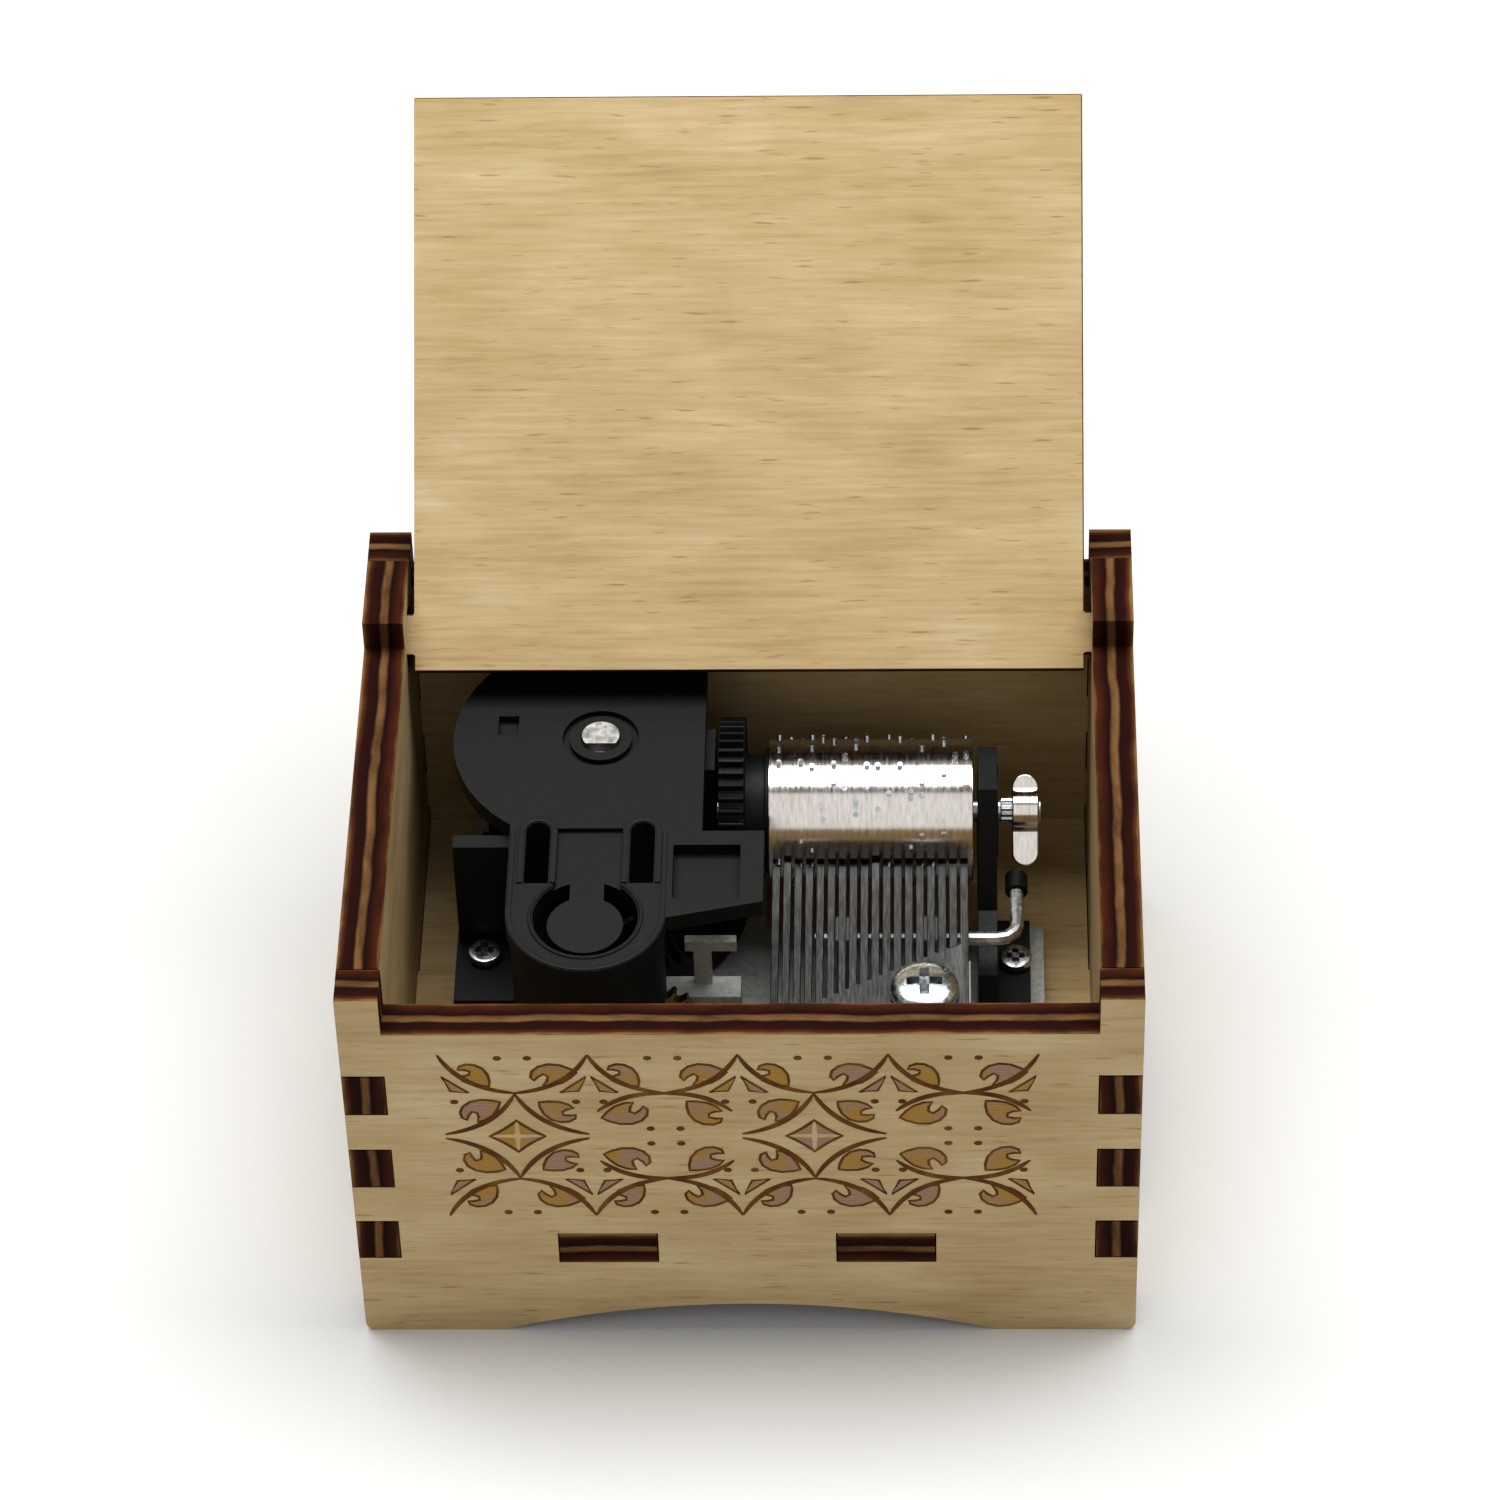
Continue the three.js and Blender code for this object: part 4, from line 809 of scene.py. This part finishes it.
def pin_tree():
    """Geometry nodes: pins set at seeded places round a cylinder, one row of places for each comb tooth."""
    tree = bpy.data.node_groups.new("cylinder pins", "GeometryNodeTree")
    sizes = {
        "Pins": ("NodeSocketInt", PINS),
        "Tracks": ("NodeSocketInt", COMB_TEETH),
        "Track pitch": ("NodeSocketFloat", COMB_PITCH),
        "First track": ("NodeSocketFloat", FIRST_TOOTH),
        "Radius": ("NodeSocketFloat", SLEEVE_RADIUS),
        "Pin radius": ("NodeSocketFloat", PIN_RADIUS),
        "Pin height": ("NodeSocketFloat", PIN_HEIGHT),
        "Seed": ("NodeSocketInt", PIN_SEED),
    }
    for name, (kind, value) in sizes.items():
        socket = tree.interface.new_socket(name, in_out="INPUT", socket_type=kind)
        socket.default_value = value
    tree.interface.new_socket("Geometry", in_out="OUTPUT", socket_type="NodeSocketGeometry")
    given = add(tree, "NodeGroupInput").outputs
    index = add(tree, "GeometryNodeInputIndex").outputs[0]
    track = add(tree, "ShaderNodeMath", {0: index, 1: given["Tracks"]}, operation="MODULO")
    pitch = given["Track pitch"]
    shift = add(tree, "ShaderNodeMath", {0: track.outputs[0], 1: pitch}, operation="MULTIPLY")
    x = add(tree, "ShaderNodeMath", {0: shift.outputs[0], 1: given["First track"]}, operation="ADD")
    angle = add(
        tree,
        "FunctionNodeRandomValue",
        {"Min": 0.0, "Max": 2 * math.pi, "ID": index, "Seed": given["Seed"]},
        data_type="FLOAT",
    )
    turn = next(s for s in angle.outputs if s.enabled)
    sine = add(tree, "ShaderNodeMath", {0: turn}, operation="SINE")
    cosine = add(tree, "ShaderNodeMath", {0: turn}, operation="COSINE")
    # A turn about X tips an upright pin towards -Y.
    tip = add(tree, "ShaderNodeMath", {0: sine.outputs[0], 1: given["Radius"]}, operation="MULTIPLY")
    y = add(tree, "ShaderNodeMath", {0: tip.outputs[0], 1: -1.0}, operation="MULTIPLY")
    z = add(tree, "ShaderNodeMath", {0: cosine.outputs[0], 1: given["Radius"]}, operation="MULTIPLY")
    place = add(tree, "ShaderNodeCombineXYZ", {0: x.outputs[0], 1: y.outputs[0], 2: z.outputs[0]})
    points = add(tree, "GeometryNodePoints", {"Count": given["Pins"], "Position": place.outputs[0]})
    # Half of each pin stands in the wall, so only its head shows.
    length = add(tree, "ShaderNodeMath", {0: given["Pin height"], 1: 2.0}, operation="MULTIPLY")
    pin = add(
        tree,
        "GeometryNodeMeshCone",
        {
            "Vertices": 10,
            "Radius Bottom": given["Pin radius"],
            "Radius Top": given["Pin radius"],
            "Depth": length.outputs[0],
        },
    )
    lowered = add(tree, "ShaderNodeMath", {0: given["Pin height"], 1: -1.0}, operation="MULTIPLY")
    drop = add(tree, "ShaderNodeCombineXYZ", {2: lowered.outputs[0]})
    set_in = add(
        tree,
        "GeometryNodeTransform",
        {"Geometry": pin.outputs["Mesh"], "Translation": drop.outputs[0]},
    )
    tilt = add(tree, "ShaderNodeCombineXYZ", {0: turn})
    rotation = add(tree, "FunctionNodeEulerToRotation", {0: tilt.outputs[0]})
    placed = add(
        tree,
        "GeometryNodeInstanceOnPoints",
        {
            "Points": points.outputs[0],
            "Instance": set_in.outputs[0],
            "Rotation": rotation.outputs[0],
        },
    )
    real = add(tree, "GeometryNodeRealizeInstances", {0: placed.outputs[0]})
    finished = add(tree, "GeometryNodeSetMaterial", {"Geometry": real.outputs[0], "Material": ZINC_PLATE})
    add(tree, "NodeGroupOutput", {0: finished.outputs[0]})
    return tree


def build_sleeve():
    """The nickelled tube, with softly rounded ends."""
    length = SLEEVE_HIGH.x - SLEEVE_LOW.x
    inner = SLEEVE_RADIUS - SLEEVE_WALL
    soft = SLEEVE_END
    knee = soft * 0.3  # the middle of the rounded corner
    outline = [
        (inner, 0),
        (SLEEVE_RADIUS - soft, 0),
        (SLEEVE_RADIUS - knee, knee),
        (SLEEVE_RADIUS, soft),
        (SLEEVE_RADIUS, length - soft),
        (SLEEVE_RADIUS - knee, length - knee),
        (SLEEVE_RADIUS - soft, length),
        (inner, length),
    ]
    bm = bmesh.new()
    rings = []
    for k in range(SLEEVE_SIDES):
        a = 2 * math.pi * k / SLEEVE_SIDES
        ring = [bm.verts.new((SLEEVE_LOW.x + x, r * math.cos(a), r * math.sin(a))) for r, x in outline]
        rings.append(ring)
    join_rings(bm, rings, closed=True)
    bmesh.ops.recalc_face_normals(bm, faces=bm.faces)
    bm.transform(Matrix.Translation((0, CYLINDER_AXIS.y, CYLINDER_AXIS.z)))
    sleeve = object_of("cylinder_sleeve_drawn", bm, [NICKEL])
    rounded(sleeve, 0)
    hand_over(sleeve, "cylinder", "nickel", "cylinder_sleeve")


def build_pins():
    """The pins, half sunk in the tube's wall."""
    pins = bpy.data.objects.new("cylinder_pins", bpy.data.meshes.new("cylinder_pins"))
    bpy.context.scene.collection.objects.link(pins)
    modifier = pins.modifiers.new("pins", "NODES")
    modifier.node_group = pin_tree()
    sockets = {item.name: item.identifier for item in modifier.node_group.interface.items_tree}
    modifier[sockets["Pins"]] = PINS
    modifier[sockets["Seed"]] = PIN_SEED
    freeze(pins)
    pins.data.transform(Matrix.Translation((0, CYLINDER_AXIS.y, CYLINDER_AXIS.z)))
    pins.data.shade_smooth()
    pins.data.set_sharp_from_angle(angle=PIN_SHARP)
    hand_over(pins, "cylinder", "nickel")


def build_cylinder():
    build_sleeve()
    build_pins()
    refined("cylinder_gear", ACETAL, 0.05, 1)
    refined("cylinder_end_cap", ACETAL, 0.15)
    refined("cylinder_shaft", ZINC_PLATE, 0.06, 1)
    refined("stop_dog", NICKEL, 0.14, 3, 40)
    refined("right_bracket", ACETAL, 0.2, 3)


# ---------- screws ----------
# Shares of the head's radius.
HEAD_HEIGHT = 0.55
SHANK_RADIUS = 0.45
HEAD_FOOT_RADIUS = 0.94
HEAD_EDGE = 0.025
# Shares of the head's height, of the shank's radius and of the recess's reach.
HEAD_SIDE = 0.92
THREAD_ROOT = 0.86
TIP_RADIUS = 0.7
RECESS_TAPER = 0.55
# Millimetres.
THREAD_STEP = 0.5
TIP_LENGTH = 0.3
ABOVE_HEAD = 0.4
ARM_STEP = 1e-4  # the recess's two arms end at slightly different heights


def recess_tool(reach, width, top, bottom):
    """A tapered cross that cuts a screw's recess."""
    bm = bmesh.new()
    for turn in (0, math.pi / 2):
        rotate = Matrix.Rotation(turn, 3, "Z")
        lift = turn * ARM_STEP
        upper_size = (width / 2, reach, top + lift)
        lower_size = (width / 4, reach * RECESS_TAPER, bottom - lift)
        rings = []
        for half, end, z in (upper_size, lower_size):
            corners = [(end, half), (-end, half), (-end, -half), (end, -half)]
            rings.append([bm.verts.new(rotate @ Vector((x, y, z))) for x, y in corners])
        upper, lower = rings
        bm.faces.new(upper)
        bm.faces.new(lower[::-1])
        for k in range(4):
            j = (k + 1) % 4
            bm.faces.new((upper[k], lower[k], lower[j], upper[j]))
    bmesh.ops.recalc_face_normals(bm, faces=bm.faces)
    return object_of("recess_tool", bm, [ZINC_PLATE])


def pan_screw(node, upward=True, recess=(0.62, 0.34, 0.7), dome=0.62):
    """A pan-head screw with a cross recess in place of a CAD screw.

    recess holds the cross's reach and width by the head's radius, and its depth by the head's height.
    dome is how much of the head's height its crown takes."""
    low, high = box_mm(node)
    centre = (low + high) / 2
    head = (high.x - low.x) / 2
    height = head * HEAD_HEIGHT
    shank = head * SHANK_RADIUS
    length = high.z - low.z
    profile = [(0, 0)]
    for k in range(1, 9):
        t = math.pi / 2 * k / 8
        profile.append((head * math.sin(t) ** 0.8, -height * dome * (1 - math.cos(t))))
    profile += [(head, -height * HEAD_SIDE), (head * HEAD_FOOT_RADIUS, -height), (shank, -height)]
    turns = max(3, int((length - height) / THREAD_STEP))
    for k in range(turns):
        z = -height - (length - height - TIP_LENGTH) * (k + 0.5) / turns
        profile.append((shank * (THREAD_ROOT if k % 2 else 1.0), z))
    profile += [(shank * TIP_RADIUS, -length), (0, -length)]
    made = object_of(node + "_plated", turned(profile), [ZINC_PLATE])
    reach, width, depth = recess
    cut_by(made, recess_tool(head * reach, head * width, ABOVE_HEAD, -height * depth))
    rounded(made, head * HEAD_EDGE, 1, 40)
    if not upward:
        made.data.transform(Matrix.Rotation(math.pi, 4, "X"))
    top = high.z if upward else low.z
    made.data.transform(Matrix.Translation((centre.x, centre.y, top)))
    hand_over(made, body_of(node), "zinc_steel", node)


def build_screws():
    for node in ("comb_screw_1", "comb_screw_2"):
        pan_screw(node)
    for node in ("bracket_screw", "housing_screw"):
        pan_screw(node, recess=(0.66, 0.5, 1.4), dome=0.2)
    for k in range(3):
        pan_screw(f"mounting_screw_{k + 1}", upward=False)


# ---------- comb ----------
COMB_FRONT = 14.0  # back from the tips, the stretch whose teeth are broadened or lifted
LIFTED_TEETH = (1, 9)
TIP_LIFT = 0.4
TOOTH_BREADTH = 1.2  # by the CAD tooth's breadth


def build_comb():
    """The comb, with two teeth that a pin has just raised."""
    made = object_of("comb_ground", welded_copy("comb"), [COMB_STEEL_SHADE_DARKENED])
    rounded(made, 0.07, 2)
    root = COMB_HIGH.y - COMB_FRONT
    for vertex in made.data.vertices:
        if vertex.co.y < root:
            continue
        tooth = round((vertex.co.x - FIRST_TOOTH) / COMB_PITCH)
        middle = FIRST_TOOTH + tooth * COMB_PITCH
        vertex.co.x = middle + (vertex.co.x - middle) * TOOTH_BREADTH
        if tooth in LIFTED_TEETH:
            vertex.co.z += TIP_LIFT * ((vertex.co.y - root) / (COMB_HIGH.y - root)) ** 2
    hand_over(made, "case", "comb_steel", "comb")


# ---------- housing ----------
RIM_HEIGHT = 0.14
RIM_SHOULDER = 0.6 * RIM_HEIGHT
RIM_ROOT = -0.2
SLOT_RIM = 0.5
NOSE_RIM = 0.4
CUP_RIM = 0.3
# The slots, the nose and the round cup in it, measured from the governor's place.
SLOTS_X = (-4.2, 4.4)
SLOT_START = 3.3
SLOT_END = 9.2
SLOT_RADIUS = 1.35
NOSE_RADIUS = 6.25
NOSE_SIDE = 9.0
NOSE_STEPS = 32
CUP_RADIUS = 4.55
CUP_BACK = -0.5
CUP_GAP = math.radians(38)  # half of the opening towards the slots
CUP_STEPS = 48


def rim(bm, points, width):
    """A raised, rounded rim along an open row of points on the housing's top."""
    section = [(-width / 2, RIM_ROOT), (-width / 2, RIM_SHOULDER), (-width / 4, RIM_HEIGHT)]
    section += [(width / 4, RIM_HEIGHT), (width / 2, RIM_SHOULDER), (width / 2, RIM_ROOT)]
    last = len(points) - 1
    rings = []
    for k, (x, y) in enumerate(points):
        way = (Vector(points[min(k + 1, last)]) - Vector(points[max(k - 1, 0)])).normalized()
        side = Vector((way.y, -way.x))
        places = [(x + side.x * s, y + side.y * s, HOUSING_TOP + h) for s, h in section]
        rings.append([bm.verts.new(place) for place in places])
    join_rings(bm, rings)


def round_points(x, y, radius, angles):
    return [(x + radius * math.cos(a), y + radius * math.sin(a)) for a in angles]


def slot_outline(x, y0, y1, radius, steps=10):
    """A slot's outline: straight sides, round far end, open near end."""
    turn = [math.pi * k / steps for k in range(1, steps)]
    points = [(x + radius, y0), (x + radius, y1)]
    points += round_points(x, y1, radius, turn)
    return points + [(x - radius, y1), (x - radius, y0)]


def build_housing():
    refined("gear_housing", ACETAL, 0.16, 2, 40)
    bm = bmesh.new()
    for x in SLOTS_X:
        slot = slot_outline(GOVERNOR_X + x, GOVERNOR_Y + SLOT_START, GOVERNOR_Y + SLOT_END, SLOT_RADIUS)
        rim(bm, slot, SLOT_RIM)
    sweep = [math.pi * (1 + k / NOSE_STEPS) for k in range(NOSE_STEPS + 1)]
    nose = [(GOVERNOR_X - NOSE_RADIUS, GOVERNOR_Y + NOSE_SIDE)]
    nose += round_points(GOVERNOR_X, GOVERNOR_Y, NOSE_RADIUS, sweep)
    nose += [(GOVERNOR_X + NOSE_RADIUS, GOVERNOR_Y + NOSE_SIDE)]
    rim(bm, nose, NOSE_RIM)
    cup_turn = 2 * math.pi - 2 * CUP_GAP
    sweep = [math.pi / 2 + CUP_GAP + cup_turn * k / CUP_STEPS for k in range(CUP_STEPS + 1)]
    rim(bm, round_points(GOVERNOR_X, GOVERNOR_Y + CUP_BACK, CUP_RADIUS, sweep), CUP_RIM)
    bmesh.ops.recalc_face_normals(bm, faces=bm.faces)
    rims = object_of("housing_rims", bm, [ACETAL])
    rounded(rims, 0)
    hand_over(rims, "case", "black_plastic")


def build_train():
    refined("bedplate", CAST_ZINC, 0.25, 3)
    refined("crown_wheel", ACETAL, 0.04, 1)
    refined("click_leaf", BLUED_STEEL, 0.04, 1)
    refined("ratchet_wheel", BRASS, 0.05, 1)
    refined("spring_arbor", TURNED_STEEL, 0.12, 3)
    refined("mainspring", BLUED_STEEL, 0)
    refined("spring_drum", ACETAL, 0.15)
    refined("winding_key", NICKEL, 0.3, 4, 40)
    refined("governor_axle", ZINC_PLATE, 0.03, 1)
    refined("worm_wheel", BRASS, 0.04, 1)
    refined("governor_worm", ZINC_PLATE, 0)
    refined("governor_fan", ACETAL, 0.08)
    refined("axle_bridge", CAST_ZINC, 0.12)
    refined("train_post", CAST_ZINC, 0.14)
    refined("stop_wire", TURNED_STEEL, 0)
    refined("stop_wire_tip", ACETAL, 0.12)
    refined("wire_holder_1", CAST_ZINC, 0.14)
    refined("wire_holder_2", CAST_ZINC, 0.14)


# ---------- stage ----------
FLOOR_HALF = 1500
LAMP_AIM = (0, 0, 20)
SURROUND_LIGHT = 0.12
SURROUND_SEEN = 0.8


def build_floor():
    """A plain pale floor, matt white."""
    bm = bmesh.new()
    bmesh.ops.create_grid(bm, x_segments=2, y_segments=2, size=FLOOR_HALF)
    material, tree, shader = new_material("floor_matt_white", 0.9, specular=0.2)
    place = add(tree, "ShaderNodeTexCoord").outputs["Object"]
    haze = add(tree, "ShaderNodeTexNoise", {"Vector": place, "Scale": 3.0})
    tone = add(
        tree,
        "ShaderNodeValToRGB",
        {"Fac": haze.outputs["Fac"]},
        stops=[(0.0, "#E4E4E3"), (1.0, "#E8E8E7")],
    )
    tree.links.new(tone.outputs["Color"], shader.inputs["Base Color"])
    floor = object_of("floor", bm, [material])
    floor.data.transform(Matrix.Scale(MM, 4))


def area_light(name, place_mm, width_mm, height_mm, watts):
    light = bpy.data.lights.new(name, "AREA")
    light.shape = "RECTANGLE"
    light.size = width_mm * MM
    light.size_y = height_mm * MM
    light.energy = watts
    made = bpy.data.objects.new(name, light)
    bpy.context.scene.collection.objects.link(made)
    made.location = Vector(place_mm) * MM
    made.rotation_euler = (Vector(place_mm) - Vector(LAMP_AIM)).to_track_quat("Z", "Y").to_euler()


def build_light():
    """Soft studio light: a large lamp almost overhead, a weak one from the front, and a pale surround."""
    world = bpy.data.worlds.new("pale surround")
    bpy.context.scene.world = world
    world.use_nodes = True
    # The surround lights the object weakly, and is seen itself as pale.
    seen = add(world.node_tree, "ShaderNodeLightPath").outputs["Is Camera Ray"]
    strength = add(
        world.node_tree,
        "ShaderNodeMapRange",
        {"Value": seen, "To Min": SURROUND_LIGHT, "To Max": SURROUND_SEEN},
    )
    background = world.node_tree.nodes["Background"]
    background.inputs["Color"].default_value = colour("#FFFFFF")
    world.node_tree.links.new(strength.outputs[0], background.inputs["Strength"])
    area_light("overhead lamp", (20, 150, 680), width_mm=1000, height_mm=400, watts=6.4)
    area_light("front card", (-60, -580, 600), width_mm=900, height_mm=900, watts=1.8)


# Camera: above and in front, a little to the right, with a slight roll.
CAMERA_AZIMUTH = math.radians(2.394)
CAMERA_ELEVATION = math.radians(45.074)
CAMERA_ROLL = math.radians(-1.876)
CAMERA_PLACE_MM = (15.64, -375.62, 406.40)
CAMERA_LENS = 151.61
CAMERA_SENSOR = 36


def build_camera():
    a, e = CAMERA_AZIMUTH, CAMERA_ELEVATION
    back = Vector((math.sin(a) * math.cos(e), -math.cos(a) * math.cos(e), math.sin(e)))
    level = Vector((math.cos(a), math.sin(a), 0))
    up = back.cross(level)
    right = level * math.cos(CAMERA_ROLL) + up * math.sin(CAMERA_ROLL)
    top = up * math.cos(CAMERA_ROLL) - level * math.sin(CAMERA_ROLL)
    camera = bpy.data.cameras.new("camera")
    camera.lens = CAMERA_LENS
    camera.sensor_width = CAMERA_SENSOR
    camera.clip_start = 0.01
    camera.clip_end = 20
    made = bpy.data.objects.new("camera", camera)
    bpy.context.scene.collection.objects.link(made)
    axes = Matrix((right, top, back)).transposed().to_4x4()
    made.matrix_world = Matrix.Translation(Vector(CAMERA_PLACE_MM) * MM) @ axes
    bpy.context.scene.camera = made


build_case()
build_cylinder()
build_comb()
build_screws()
build_housing()
build_train()
build_floor()
build_light()
build_camera()
bpy.context.scene.view_settings.view_transform = "Standard"
bpy.context.scene.view_settings.look = "Medium High Contrast"
